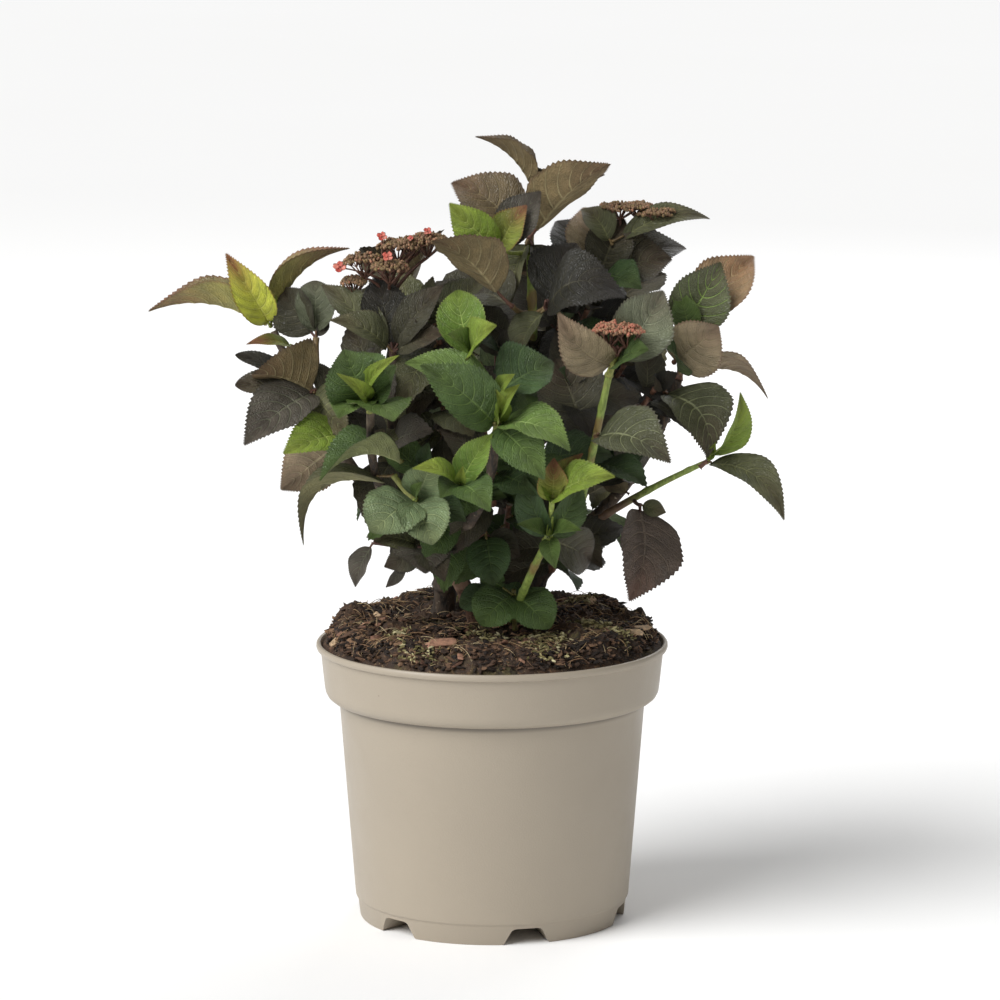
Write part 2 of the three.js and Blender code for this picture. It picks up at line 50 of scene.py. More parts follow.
def paint(code):
    """A paint code such as "7a6a58" as the light values that a material takes."""
    shades = [int(code[i:i + 2], 16) / 255 for i in (0, 2, 4)]
    return [s / 12.92 if s <= 0.04045 else ((s + 0.055) / 1.055) ** 2.4 for s in shades] + [1]


def add_node(kind, inputs, tree=None, **settings):
    """Adds a shader node, in the tree its inputs are in. An input is a socket, a paint code or
    another plain value."""
    if tree is None:
        tree = next(value.id_data for value in inputs.values()
                    if isinstance(value, bpy.types.NodeSocket))
    node = tree.nodes.new("ShaderNode" + kind)
    for name, value in settings.items():
        setattr(node, name, value)
    for key, value in inputs.items():
        if isinstance(value, bpy.types.NodeSocket):
            tree.links.new(value, node.inputs[key])
        else:
            node.inputs[key].default_value = paint(value) if isinstance(value, str) else value
    return node


def sum_up(operation, *values):
    return add_node("Math", dict(enumerate(values)), operation=operation).outputs[0]


def times(first, second):
    return sum_up("MULTIPLY", first, second)


def plus(first, second):
    return sum_up("ADD", first, second)


def ease(value, low, high, to_low=0.0, to_high=1.0):
    """Goes smoothly from to_low to to_high while value goes from low to high."""
    return add_node("MapRange", {0: value, 1: low, 2: high, 3: to_low, 4: to_high},
                    interpolation_type="SMOOTHSTEP").outputs[0]


def blend(share, first, second, way="MIX"):
    return add_node("Mix", {0: share, 6: first, 7: second}, data_type="RGBA",
                    blend_type=way).outputs[2]


def daub(tone, cover, value, low, high, amount=1.0):
    """Covers a tone with another, up to the amount, as value goes from low to high."""
    return blend(ease(value, low, high, 0, amount), tone, cover)


def shaded(tone, shade):
    """The tone made lighter or darker, as many times as bright as shade says."""
    grey = add_node("CombineColor", {0: shade, 1: shade, 2: shade}).outputs[0]
    return blend(1.0, tone, grey, "MULTIPLY")


def cloud(place, scale, detail=3.0, rough=0.55):
    """Soft uneven grey, from 0 to 1, of so many lumps to the metre."""
    return add_node("TexNoise", {"Vector": place, "Scale": scale, "Detail": detail,
                                 "Roughness": rough}).outputs["Fac"]


def new_material(name):
    """An empty material, its Object coordinates and its shader."""
    material = bpy.data.materials.new(name)
    material.use_nodes = True
    place = add_node("TexCoord", {}, material.node_tree).outputs["Object"]
    return material, place, material.node_tree.nodes["Principled BSDF"]


def dress(shader, colour, roughness, height, depth):
    """Gives a shader its colour, its roughness and a relief so many metres deep."""
    bump = add_node("Bump", {"Strength": 1.0, "Distance": depth, "Height": height})
    for name, value in (("Base Color", colour), ("Roughness", roughness),
                        ("Normal", bump.outputs["Normal"])):
        shader.id_data.links.new(value, shader.inputs[name])


def new_piece(name, bm, *materials):
    """Turns the bmesh into an object at the origin."""
    mesh = bpy.data.meshes.new(name)
    bm.to_mesh(mesh)
    bm.free()
    for material in materials:
        mesh.materials.append(material)
    piece = bpy.data.objects.new(name, mesh)
    scene.collection.objects.link(piece)
    return piece


FLOOR_RADIUS = 40.0
floor_finish, place, shader = new_material("studio_floor")
shader.id_data.links.new(blend(cloud(place, 0.8), "fcfcfb", "fefefe"),
                         shader.inputs["Base Color"])
shader.inputs["Roughness"].default_value = 0.9
bm = bmesh.new()
bmesh.ops.create_circle(bm, cap_ends=True, radius=FLOOR_RADIUS, segments=64)
studio_floor = new_piece("studio_floor", bm, floor_finish)

CAMERA_PLACE = (0.0052, -3.2, 0.822)
CAMERA_PITCH = 0.169               # radians below level
CAMERA_LENS = 179.4
scene.view_settings.view_transform = "Standard"
lens = bpy.data.cameras.new("camera")
lens.lens = CAMERA_LENS
lens.sensor_width = 36
camera = bpy.data.objects.new("camera", lens)
camera.location = CAMERA_PLACE
camera.rotation_euler = (math.pi / 2 - CAMERA_PITCH, 0, 0)
scene.collection.objects.link(camera)
scene.camera = camera

SUN_FROM = (-0.80, -0.62, 0.86)    # the way to the big soft lamp on the left
SUN_WIDTH = 44.0                   # degrees that it covers
SUN_POWER = 3.3
light = bpy.data.lights.new("lamp_left", "SUN")
light.energy, light.angle = SUN_POWER, math.radians(SUN_WIDTH)
lamp = bpy.data.objects.new("lamp_left", light)
lamp.matrix_world = (-Vector(SUN_FROM)).to_track_quat("-Z", "Y").to_matrix().to_4x4()
scene.collection.objects.link(lamp)
BACK_LAMP, BACK_LAMP_AIM = (0.9, 2.4, 2.0), (0, 0, 0.25)
BACK_LAMP_SIZE, BACK_LAMP_POWER = 1.8, 24
light = bpy.data.lights.new("lamp_back", "AREA")
light.size, light.energy = BACK_LAMP_SIZE, BACK_LAMP_POWER
lamp = bpy.data.objects.new("lamp_back", light)
turn = (Vector(BACK_LAMP_AIM) - Vector(BACK_LAMP)).to_track_quat("-Z", "Y").to_matrix().to_4x4()
lamp.matrix_world = Matrix.Translation(BACK_LAMP) @ turn
scene.collection.objects.link(lamp)
DAYLIGHT = 0.31
world = bpy.data.worlds.new("daylight")
world.use_nodes = True
world.node_tree.nodes["Background"].inputs["Color"].default_value = (1, 1, 1, 1)
world.node_tree.nodes["Background"].inputs["Strength"].default_value = DAYLIGHT
scene.world = world

# ---- pot ------------------------------------------------------------------------------------
# A 23 cm injection-moulded polypropylene nursery pot in warm grey-brown. It has a rolled lip, a
# stepped-out collar and a foot ring, cut through by six drainage channels.

POT_TURNS = 144
POT_PROFILE = [                    # radius and height in mm, from the underside to the inner floor
    (0, 0.6), (50, 0.6), (84.6, 0.6), (85.2, 0), (86.5, 0.1), (87.0, 0.9), (88.4, 12.4),
    (88.8, 13.3), (89.5, 13.8), (89.9, 14.8), (100.0, 144.1), (100.5, 145.5), (101.8, 145.8),
    (105.4, 146.4), (107.8, 148.3), (109.1, 150.9), (109.6, 154.0), (112.0, 176.6),
    (112.3, 177.8), (113.4, 178.2), (114.5, 178.9), (115.0, 180.2), (114.9, 181.7),
    (114.2, 182.7), (113.2, 183.0), (112.3, 182.7), (111.8, 181.7), (110.3, 176.0),
    (107.7, 154.4), (106.4, 150.0), (103.4, 148.0), (99.0, 147.0), (98.0, 143.4),
    (87.6, 16.0), (85.0, 13.2), (0, 13.0)]
CHANNELS = 6
CHANNEL_FIRST = 15.0               # degrees from the front towards the right
CHANNEL_DEPTH = (50.0, 96.0)       # mm from the pot's middle
CHANNEL_SECTION = [                # half width and height in mm of a channel's mouth
    (17.0, -1.0), (15.4, 0.3), (14.3, 1.5), (13.6, 3.2), (11.2, 7.6), (10.2, 9.3), (8.8, 10.3),
    (7.0, 10.7)]
SHARP_EDGE = 34                    # degrees; blunter edges are shaded round

pot_plastic, place, shader = new_material("pot_plastic")
tone = blend(cloud(place, 14, 2), "9f9484", "a79c8b")
height_up = add_node("SeparateXYZ", {0: place}).outputs["Z"]
tone = daub(tone, "8b8173", height_up, 0.02, 0.0, 0.25)
# A darker band just under the collar: painted shadow of the collar's overhang.
collar_shadow = times(ease(height_up, 0.1415, 0.1452), ease(height_up, 0.1466, 0.1458))
tone = blend(collar_shadow, tone, "756d61")
specks = add_node("TexVoronoi", {"Vector": place, "Scale": 70, "Randomness": 1.0}, feature="F1")
rank = add_node("TexWhiteNoise", {0: specks.outputs["Position"]}).outputs["Value"]
speck = times(ease(specks.outputs["Distance"], 0.085, 0.05), ease(rank, 0.90, 0.91))
speck_tone = blend(ease(rank, 0.95, 0.951), "6b6055", "d5cec4")
tone = blend(times(speck, 0.8), tone, speck_tone)
dress(shader, tone, ease(cloud(place, 30, 4), 0.3, 0.7, 0.40, 0.52),
      plus(cloud(place, 900, 2), times(cloud(place, 9, 2), 3.0)), 0.00012)

bm = bmesh.new()
ring = [bm.verts.new((radius / 1000, 0, up / 1000)) for radius, up in POT_PROFILE]
edges = [bm.edges.new(pair) for pair in zip(ring, ring[1:])]
bmesh.ops.spin(bm, geom=ring + edges, cent=(0, 0, 0), axis=(0, 0, 1), angle=2 * math.pi,
               steps=POT_TURNS, use_merge=True)
bmesh.ops.remove_doubles(bm, verts=bm.verts, dist=1e-6)
bmesh.ops.recalc_face_normals(bm, faces=bm.faces)
pot = new_piece("pot_shell", bm, pot_plastic)

bm = bmesh.new()
for k in range(CHANNELS):
    turn = Matrix.Rotation(math.radians(-90 + CHANNEL_FIRST + 360 / CHANNELS * k), 4, "Z")
    inner, outer = (depth / 1000 for depth in CHANNEL_DEPTH)
    section = CHANNEL_SECTION + [(-half, up) for half, up in reversed(CHANNEL_SECTION)]
    mouth = bm.faces.new([bm.verts.new(turn @ Vector((outer, half / 1000, up / 1000)))
                          for half, up in section])
    grown = bmesh.ops.extrude_face_region(bm, geom=[mouth])["geom"]
    bmesh.ops.translate(bm, verts=[v for v in grown if isinstance(v, bmesh.types.BMVert)],
                        vec=turn @ Vector((inner - outer, 0, 0)))
bmesh.ops.recalc_face_normals(bm, faces=bm.faces)
cutter = new_piece("channel_cutter", bm)
cut = pot.modifiers.new("channels", "BOOLEAN")
cut.operation, cut.solver, cut.object = "DIFFERENCE", "EXACT", cutter
bpy.context.view_layer.update()
shaped = bpy.data.meshes.new_from_object(pot.evaluated_get(bpy.context.evaluated_depsgraph_get()))
pot.modifiers.clear()
pot.data = shaped
bpy.data.objects.remove(cutter)
shaped.materials.clear()
shaped.materials.append(pot_plastic)
bm = bmesh.new()
bm.from_mesh(shaped)
bmesh.ops.remove_doubles(bm, verts=bm.verts, dist=1e-6)
for face in bm.faces:
    face.smooth = True
for edge in bm.edges:
    edge.smooth = not edge.is_manifold or edge.calc_face_angle() < math.radians(SHARP_EDGE)
bm.to_mesh(shaped)
bm.free()
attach(pot, "root")
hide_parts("pot")

# ---- root ball ------------------------------------------------------------------------------
# Peat-based potting soil, heaped a little round the stems and crumbly on top. It fills the pot
# and is held by the roots.

SOIL_RADIUS = 0.1108
SOIL_EDGE, SOIL_MOUND, SOIL_LUMP = 181.0, 195.5, 3.5     # mm
SOIL_STEPS = 190
SOIL_SIDE = ((0.1095, 0.172), (0.0988, 0.1482), (0.0965, 0.141), (0.0862, 0.0138))


def soil_height(x, y):
    """Height of the soil's smooth surface; all in metres."""
    x, y = x * 1000, y * 1000
    share = min(max((112 - math.hypot(x, y)) / 15, 0), 1)
    in_rim = share * share * (3 - 2 * share)
    lumps = math.sin(x / 17 + 0.6) * math.cos(y / 21 - 0.4) + 0.5 * math.sin((x - y) / 11)
    return (SOIL_EDGE + (SOIL_MOUND - SOIL_EDGE) * in_rim + SOIL_LUMP * in_rim * lumps) / 1000


soil_peat, place, shader = new_material("soil_peat")
coarse, fine = cloud(place, 42, 5, 0.65), cloud(place, 260, 4, 0.7)
tone = blend(ease(coarse, 0.34, 0.66), "261c15", "4b3728")
tone = daub(tone, "7a5c43", fine, 0.50, 0.78)
tone = daub(tone, "ab926c", cloud(place, 620, 2), 0.62, 0.80)
mossy = times(ease(cloud(place, 24, 3), 0.52, 0.64), ease(fine, 0.35, 0.6))
tone = blend(times(mossy, 0.5), tone, "5f5a33")
dress(shader, tone, ease(fine, 0.3, 0.7, 0.72, 0.95), plus(fine, times(coarse, 2)), 0.0022)

bm = bmesh.new()
bmesh.ops.create_grid(bm, x_segments=SOIL_STEPS, y_segments=SOIL_STEPS, size=1)
for vert in bm.verts:
    a, b = vert.co.x, vert.co.y
    x, y = a * math.sqrt(1 - b * b / 2) * SOIL_RADIUS, b * math.sqrt(1 - a * a / 2) * SOIL_RADIUS
    inside = min(1, (SOIL_RADIUS - math.hypot(x, y)) / 0.006)
    crumbs = 5.0 * noise.noise((x * 46, y * 46, 1.7)) + 4.4 * noise.noise((x * 118, y * 118, 4.1))
    crumbs += 2.8 * abs(noise.noise((x * 270, y * 270, 8.3)))
    crumbs += 1.8 * noise.noise((x * 560, y * 560, 2))
    vert.co = (x, y, soil_height(x, y) + (crumbs * inside - 0.6) / 1000)
rim = [edge for edge in bm.edges if edge.is_boundary]
for radius, up in SOIL_SIDE:       # metres, down the pot's inside to its floor
    grown = bmesh.ops.extrude_edge_only(bm, edges=rim)["geom"]
    rim = [part for part in grown if isinstance(part, bmesh.types.BMEdge)]
    for vert in {v for edge in rim for v in edge.verts}:
        way = Vector((vert.co.x, vert.co.y, 0)).normalized() * radius
        vert.co = (way.x, way.y, up)
bmesh.ops.holes_fill(bm, edges=rim, sides=0)
bmesh.ops.recalc_face_normals(bm, faces=bm.faces)
for face in bm.faces:
    face.smooth = True
root_ball = new_piece("soil", bm, soil_peat)
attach(root_ball, "root")
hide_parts("root_ball_soil")

# ---- litter on the soil ---------------------------------------------------------------------
# Peat crumbs, bark chips, root fibres and moss lie loose on the soil, pressed a little way in.

litter_luck = random.Random(11)


def copies(bm, pattern, count):
    """Adds the pattern mesh so many times, and gives the corners and faces of each copy."""
    for _ in range(count):
        bm.from_mesh(pattern)
    bm.verts.ensure_lookup_table()
    bm.faces.ensure_lookup_table()
    corners, faces = len(pattern.vertices), len(pattern.polygons)
    return [(bm.verts[k * corners:(k + 1) * corners], bm.faces[k * faces:(k + 1) * faces])
            for k in range(count)]


def scatter(pattern, spots):
    """Sets a copy of the pattern mesh at each spot: a matrix, a tint and a share of lumpiness."""
    bm = bmesh.new()
    placed = copies(bm, pattern, len(spots))
    tint_layer = bm.faces.layers.float["Tint"]
    for k, ((verts, faces), (matrix, tint, lumps)) in enumerate(zip(placed, spots)):
        for vert in verts:
            uneven = 1 + lumps * noise.noise(vert.co * 1.3 + Vector((k * 3.1, 0, 0)))
            vert.co = matrix @ (vert.co * uneven)
        for face in faces:
            face[tint_layer] = tint
    return bm


def pattern_from(bm, smooth=True):
    """Keeps a small shape, with an empty tint on its faces, to be repeated."""
    bm.faces.layers.float.new("Tint")
    for face in bm.faces:
        face.smooth = smooth
    mesh = bpy.data.meshes.new("pattern")
    bm.to_mesh(mesh)
    bm.free()
    return mesh


def on_soil(luck, reach=0.109, sink=0.0, inner=0.0):
    """A random spot on the soil, in metres, at least as far out as inner."""
    radius = math.sqrt(inner ** 2 + (reach ** 2 - inner ** 2) * luck.random())
    bearing = luck.uniform(0, 2 * math.pi)
    x, y = radius * math.cos(bearing), radius * math.sin(bearing)
    return Vector((x, y, soil_height(x, y) + 0.001 - sink))


def any_turn(luck):
    return (Matrix.Rotation(luck.uniform(0, 6.28), 4, "Z")
            @ Matrix.Rotation(luck.uniform(-0.6, 0.6), 4, "X")
            @ Matrix.Rotation(luck.uniform(-0.6, 0.6), 4, "Y"))


def laid(spot, turn, *halves):
    """The matrix that sets a shape at a spot, turned, with its half sizes."""
    return Matrix.Translation(spot) @ turn @ Matrix.Diagonal((*halves, 1))


def tinted_material(name, codes, grain, rough, depth):
    """A finish whose colour is dealt out piece by piece from a few paints, with a grain over it."""
    material, place, shader = new_material(name)
    tint = add_node("Attribute", {}, shader.id_data, attribute_name="Tint").outputs["Fac"]
    ramp = add_node("ValToRGB", {0: tint})
    stops, codes = ramp.color_ramp.elements, codes.split()
    while len(stops) < len(codes):
        stops.new(0.5)
    for k, code in enumerate(codes):
        stops[k].position, stops[k].color = k / (len(codes) - 1), paint(code)
    speckle = cloud(place, grain, 3, 0.6)
    dress(shader, shaded(ramp.outputs[0], ease(speckle, 0.3, 0.75, 0.62, 1.25)),
          ease(speckle, 0.3, 0.7, rough - 0.1, rough + 0.08), speckle, depth)
    return material


peat_crumb = tinted_material("peat_crumb", "1f1610 3d2c20 5e4534 8a6b50", 700, 0.88, 0.0006)
bark_chip = tinted_material("bark_chip", "5a3f31 8a6450 a97f68 c7ab88", 420, 0.8, 0.0004)
root_fibre = tinted_material("root_fibre", "5b4130 8c6b4c a98a62 d0bd94", 500, 0.75, 0.0002)
moss = tinted_material("moss", "45401f 736a40 a99f70 d2c9a0", 900, 0.9, 0.0005)

between = litter_luck.uniform
CRUMBS, CHIPS, FIBRES = 6400, 90, 980
MOSS_PER_METRE = 5200              # tufts in a patch, for each metre of its reach
RIM_ZONE = 0.091                   # metres; half the crumbs and a third of the fibres lie beyond
CRUMB_REACH, FIBRE_REACH, MOSS_REACH = 0.1075, 0.107, 0.106

bm = bmesh.new()
bmesh.ops.create_icosphere(bm, subdivisions=1, radius=1)
crumb_pattern = pattern_from(bm, smooth=False)
spots = []
for k in range(CRUMBS):
    size = litter_luck.choice((0.0005, 0.0007, 0.0009, 0.0012, 0.0020))
    spot = on_soil(litter_luck, CRUMB_REACH, size * 0.2, RIM_ZONE if k % 2 else 0)
    spots.append((laid(spot, any_turn(litter_luck), size * between(0.9, 2.8), size,
                       size * 0.6), litter_luck.random() ** 2.0, 0.7))
crumbs = new_piece("soil_crumbs", scatter(crumb_pattern, spots), peat_crumb)

CHIPS_SET = [  # place, half length, tint and turn of the chips that lie in plain sight
    ((-0.031, -0.084), 0.0090, 0.60, 0.3), ((0.098, -0.020), 0.0050, 0.95, 0.5),
    ((0.091, -0.041), 0.0060, 0.98, -0.3), ((-0.075, -0.050), 0.0045, 0.35, 1.1)]
bm = bmesh.new()
bmesh.ops.create_cube(bm, size=2)
bmesh.ops.bevel(bm, geom=bm.edges[:], offset=0.3, affect="EDGES", segments=1, profile=0.5,
                material=-1)
chip_pattern = pattern_from(bm, smooth=False)
spots = []
for (x, y), size, tint, turn in CHIPS_SET:
    turned = Matrix.Rotation(turn, 4, "Z") @ Matrix.Rotation(0.3, 4, "X")
    spots.append((laid((x, y, soil_height(x, y) + 0.0025), turned, size, size * 0.45, size * 0.18),
                  tint, 0.6))
for _ in range(CHIPS):
    size = between(0.0014, 0.0042)
    spots.append((laid(on_soil(litter_luck, sink=-0.0006), any_turn(litter_luck), size, size * 0.5,
                       size * 0.2), litter_luck.random() ** 1.6, 0.4))
chips = new_piece("bark_chips", scatter(chip_pattern, spots), bark_chip)

MOSS_PATCHES = [  # middle and reach in mm
    (-62, -50, 10), (30, -60, 16), (56, -20, 18), (68, -34, 14), (34, -93, 15), (-56, -88, 14),
    (-42, -96, 10), (84, -52, 10), (40, -66, 12), (-20, 60, 20), (60, 55, 16), (-4, -50, 14)]
spots = []
for patch in MOSS_PATCHES:
    x, y, reach = (size / 1000 for size in patch)
    for _ in range(int(reach * MOSS_PER_METRE)):
        a, b = (middle + litter_luck.gauss(0, reach / 2.2) for middle in (x, y))
        if math.hypot(a, b) > MOSS_REACH:
            continue
        size = between(0.0005, 0.0013)
        up = soil_height(a, b) + between(0.001, 0.004)
        spots.append((laid((a, b, up), any_turn(litter_luck), size * 2.4, size * 0.6, size * 0.8),
                      litter_luck.random(), 0.5))
moss_tufts = new_piece("moss_tufts", scatter(crumb_pattern, spots), moss)


def rod_pattern(rings, sides):
    """A straight round rod of radius 1 from x = 0 to x = 1, for bend_rods to repeat."""
    bm = bmesh.new()
    line = [bm.verts.new((k / rings, 0, 1)) for k in range(rings + 1)]
    edges = [bm.edges.new(pair) for pair in zip(line, line[1:])]
    bmesh.ops.spin(bm, geom=line + edges, cent=(0, 0, 0), axis=(1, 0, 0), angle=2 * math.pi,
                   steps=sides, use_merge=True)
    bmesh.ops.holes_fill(bm, edges=[edge for edge in bm.edges if edge.is_boundary], sides=0)
    bmesh.ops.recalc_face_normals(bm, faces=bm.faces)
    return pattern_from(bm)


def bend_rods(pattern, rods, girth=None):
    """Repeats the rod once for each (start, control, end, first radius, last radius, tint)."""
    bm = bmesh.new()
    placed = copies(bm, pattern, len(rods))
    tint_layer = bm.faces.layers.float["Tint"]
    for k, ((verts, faces), rod) in enumerate(zip(placed, rods)):
        start, control, end, thick, thin, tint = rod
        across = (end - start).cross(Vector((0.31, 0.87, 0.21))).normalized()
        for vert in verts:
            t = vert.co.x
            middle = start * (1 - t) ** 2 + control * 2 * t * (1 - t) + end * t * t
            tangent = ((control - start) * (1 - t) + (end - control) * t).normalized()
            side = (across - tangent * across.dot(tangent)).normalized()
            radius = thick + (thin - thick) * t
            if girth:
                radius *= girth(t, vert.co.y, vert.co.z, k)
            vert.co = middle + (side * vert.co.y + tangent.cross(side) * vert.co.z) * radius
        for face in faces:
            face[tint_layer] = tint
    return bm


rods = []
for k in range(FIBRES):
    start = on_soil(litter_luck, FIBRE_REACH, -0.0005, 0 if k % 3 else RIM_ZONE)
    way = Vector((between(-1, 1), between(-1, 1), 0)).normalized()
    length = between(0.005, 0.016)
    end = start + way * length
    if math.hypot(end.x, end.y) > 0.109:
        continue
    end.z = soil_height(end.x, end.y) + between(0, 0.003)
    bow = Vector([between(low, high) for low, high in ((-1, 1), (-1, 1), (0, 1.4))])
    thick = between(0.00015, 0.00035)
    rods.append((start, (start + end) / 2 + bow * length * 0.35, end, thick, thick * 0.6,
                 litter_luck.random()))
fibres = new_piece("root_fibres", bend_rods(rod_pattern(5, 3), rods), root_fibre)
for piece in (crumbs, chips, moss_tufts, fibres):
    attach(piece, "root")

# ---- stems and boughs -----------------------------------------------------------------------
# Woody stems grow from the root ball and fork into boughs. Their bark is thin, grey-brown and
# peels in strips, with a swollen ring at each old leaf joint. Young shoots are still green.

GROUND = 0                         # marks a foot that stands in the soil
LIMBS = [  # name, foot, tip, radii at both ends, bow of the middle, all in mm, and its age
    ("stem_left", (-33, 34, GROUND), (-44, 0, 262), (8, 5.6), (6, 4, 0), "woody"),
    ("stem_front", (-8, 12, GROUND), (-33, -38, 247), (6.4, 5), (2, 3, 3), "woody"),
    ("stem_back", (2, 40, GROUND), (20, 30, 300), (7.6, 5.4), (-4, 2, 0), "woody"),
    ("stem_right", (20, 26, GROUND), (52, -8, 253), (6.2, 4.8), (-3, 2, 4), "woody"),
    ("green_shoot", (14, -4, GROUND), (35, -90, 265), (2.9, 2.3), (-5, -6, -6), "green"),
    ("bough_left", (-44, 0, 262), (-110, -43, 348), (4.8, 3.2), (-8, -6, -10), "woody"),
    ("bough_far_left", (-104, -38, 342), (-141, -7, 388), (2.9, 2.3), (-4, 6, -2), "woody"),
    ("bough_left_head", (-44, 0, 262), (-63, -50, 376), (4.2, 2.8), (-8, -6, -4), "woody"),
    ("bough_front_left", (-33, -38, 247), (-49, -92, 292), (3.8, 2.7), (-2, -5, -6), "woody"),
    ("bough_green_left", (-44, 0, 262), (-76, -108, 351), (3.6, 2.6), (-10, -8, -14), "woody"),
    ("bough_centre", (-33, -38, 247), (2, -102, 334), (4, 2.8), (8, -10, -4), "woody"),
    ("bough_summit", (20, 30, 300), (24, -18, 446), (4.2, 2.6), (4, -4, -6), "green"),
    ("bough_top_right", (20, 30, 300), (70, 22, 417), (4.4, 3), (4, 6, -6), "woody"),
    ("bough_right", (52, -8, 253), (138, -25, 305), (3.0, 1.6), (-2, -2, 2), "green"),
    ("bough_right_crest", (52, -8, 253), (121, 0, 355), (4.4, 2.8), (8, 10, -8), "woody"),
    ("bough_right_head", (52, -8, 253), (74, -82, 370), (3.0, 2.2), (-2, -18, -8), "green"),
    ("bough_back_left", (2, 38, 240), (-58, 76, 380), (4.6, 2.8), (-4, 12, -10), "woody"),
    ("bough_back_right", (20, 30, 300), (70, 84, 376), (4.4, 2.8), (6, 10, -8), "woody"),
]
STEM_SET = 6.0                     # mm that a stem's foot goes into the soil
JOINT_GAP = 0.030                  # metres from one leaf joint to the next
OWN_BARK = {"stem_front": "flaking_bark", "bough_right": "turning_bark"}

bark = {}
for name, dark, pale, patched in (("wood_bark", "2a2521", "57493c", "776959"),
                                  ("flaking_bark", "4a342a", "8d6a55", "b08f78")):
    bark[name], place, shader = new_material(name)
    streak = cloud(add_node("Mapping", {0: place, 3: (1, 1, 0.16)}).outputs[0], 380, 5, 0.65)
    patch = cloud(place, 60, 3)
    tone = blend(ease(streak, 0.36, 0.64), dark, pale)
    tone = daub(tone, patched, patch, 0.52, 0.68)
    tone = daub(tone, "b9aa93", cloud(place, 420, 2), 0.66, 0.74, 0.7)
    dress(shader, tone, ease(streak, 0.3, 0.7, 0.7, 0.92), plus(streak, times(patch, 0.7)), 0.0012)
for name, woody_below in (("green_bark", -1.0), ("turning_bark", 0.102)):
    bark[name], place, shader = new_material(name)
    streak = cloud(add_node("Mapping", {0: place, 3: (1, 1, 0.2)}).outputs[0], 500, 4, 0.6)
    tone = blend(ease(streak, 0.35, 0.7), "6d7f35", "93a552")
    tone = daub(tone, "7d4f3a", cloud(place, 45, 2), 0.52, 0.66, 0.65)
    tone = daub(tone, "5a4030", cloud(place, 900, 1), 0.68, 0.74, 0.8)
    out = add_node("SeparateXYZ", {0: place}).outputs["X"]
    aged = ease(out, woody_below, woody_below - 0.02)
    tone = blend(aged, tone, blend(streak, "4d3a2d", "85684f"))
    dress(shader, tone, ease(streak, 0.3, 0.7, 0.5, 0.68), streak, 0.0004)

limb_pattern = rod_pattern(72, 14)
for name, foot, tip, (thick, thin), bow, age in LIMBS:
    start, end = Vector(foot), Vector(tip)
    in_soil = foot[2] == GROUND
    if in_soil:
        start.z = soil_height(start.x / 1000, start.y / 1000) * 1000 - STEM_SET
    control = ((start + end) / 2 + 2 * Vector(bow)) / 1000
    start, end = start / 1000, end / 1000
    length = (end - start).length
    seed = len(name) * 1.7 + tip[0] * 0.13

    def girth(t, y, z, _):
        """Swelling at the joints, a flare at the soil, and the bark's strips and knots."""
        along = t * length
        step = (along / JOINT_GAP) % 1
        joint = math.exp(-((min(step, 1 - step) * JOINT_GAP) / 0.0022) ** 2)
        flare = 0.4 * math.exp(-t / 0.06) if in_soil else 0
        knots = noise.noise((y * 1.6 + seed, z * 1.6, along * 55)) * 0.16
        strips = noise.noise((y * 4.2, z * 4.2 + seed, along * 22)) * 0.10
        calm = 0.35 if age == "green" else 1
        return 1 + 0.24 * joint * (0.7 + 0.3 * y) + flare + (knots + strips) * calm

    rod = (start, control, end, thick / 1000, thin / 1000, 0.5)
    finish = bark[OWN_BARK.get(name, "green_bark" if age == "green" else "wood_bark")]
    piece = new_piece(name + "_bark", bend_rods(limb_pattern, [rod], girth), finish)
    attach(piece, "root")
    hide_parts(name)

# ---- leaves of the front shoots -------------------------------------------------------------
# Each leaf is one thin blade with its stalk: ovate, toothed, drawn out to a point, with sunken
# side veins. The leaves stand in crosswise pairs. Older ones have gone dark purple and bronze,
# and young ones are lime green, some with a red tip.

VEIN_PAIRS = 8
BASE_CURVE, TIP_CURVE = 0.54, 0.72  # how fast the outline opens at the base and at the tip
TIP_DRAWN_OUT = 0.58               # how much the outline hollows towards the point
BLUNT_TIP = 0.17                   # of the length, that a blunt leaf's point is drawn in
VEIN_SWEEP = 0.22                  # how far side veins run forward, at most, as a share of length
VEIN_CURVE = 0.10                  # how much further they curve forward at the edge
BLADE_THICKNESS = 0.006            # of the length
QUILTING = 0.014                   # rise of the blade between two side veins, of the length
TOOTH = 0.043                      # of the blade's half width
LEAF_GLOSS = 0.48
BAKE_MARGIN = 0.03                 # left free round each leaf's cell of the bake map


def add_underside(bm, thickness):
    """Copies a flat shape below itself, joined to it round the edge once doubles are removed."""
    copy = bmesh.ops.duplicate(bm, geom=bm.verts[:] + bm.edges[:] + bm.faces[:])["geom"]
    lower = [part for part in copy if isinstance(part, bmesh.types.BMFace)]
    for vert in {v for face in lower for v in face.verts if not v.is_boundary}:
        vert.co.z -= thickness
    bmesh.ops.reverse_faces(bm, faces=lower)
    return lower


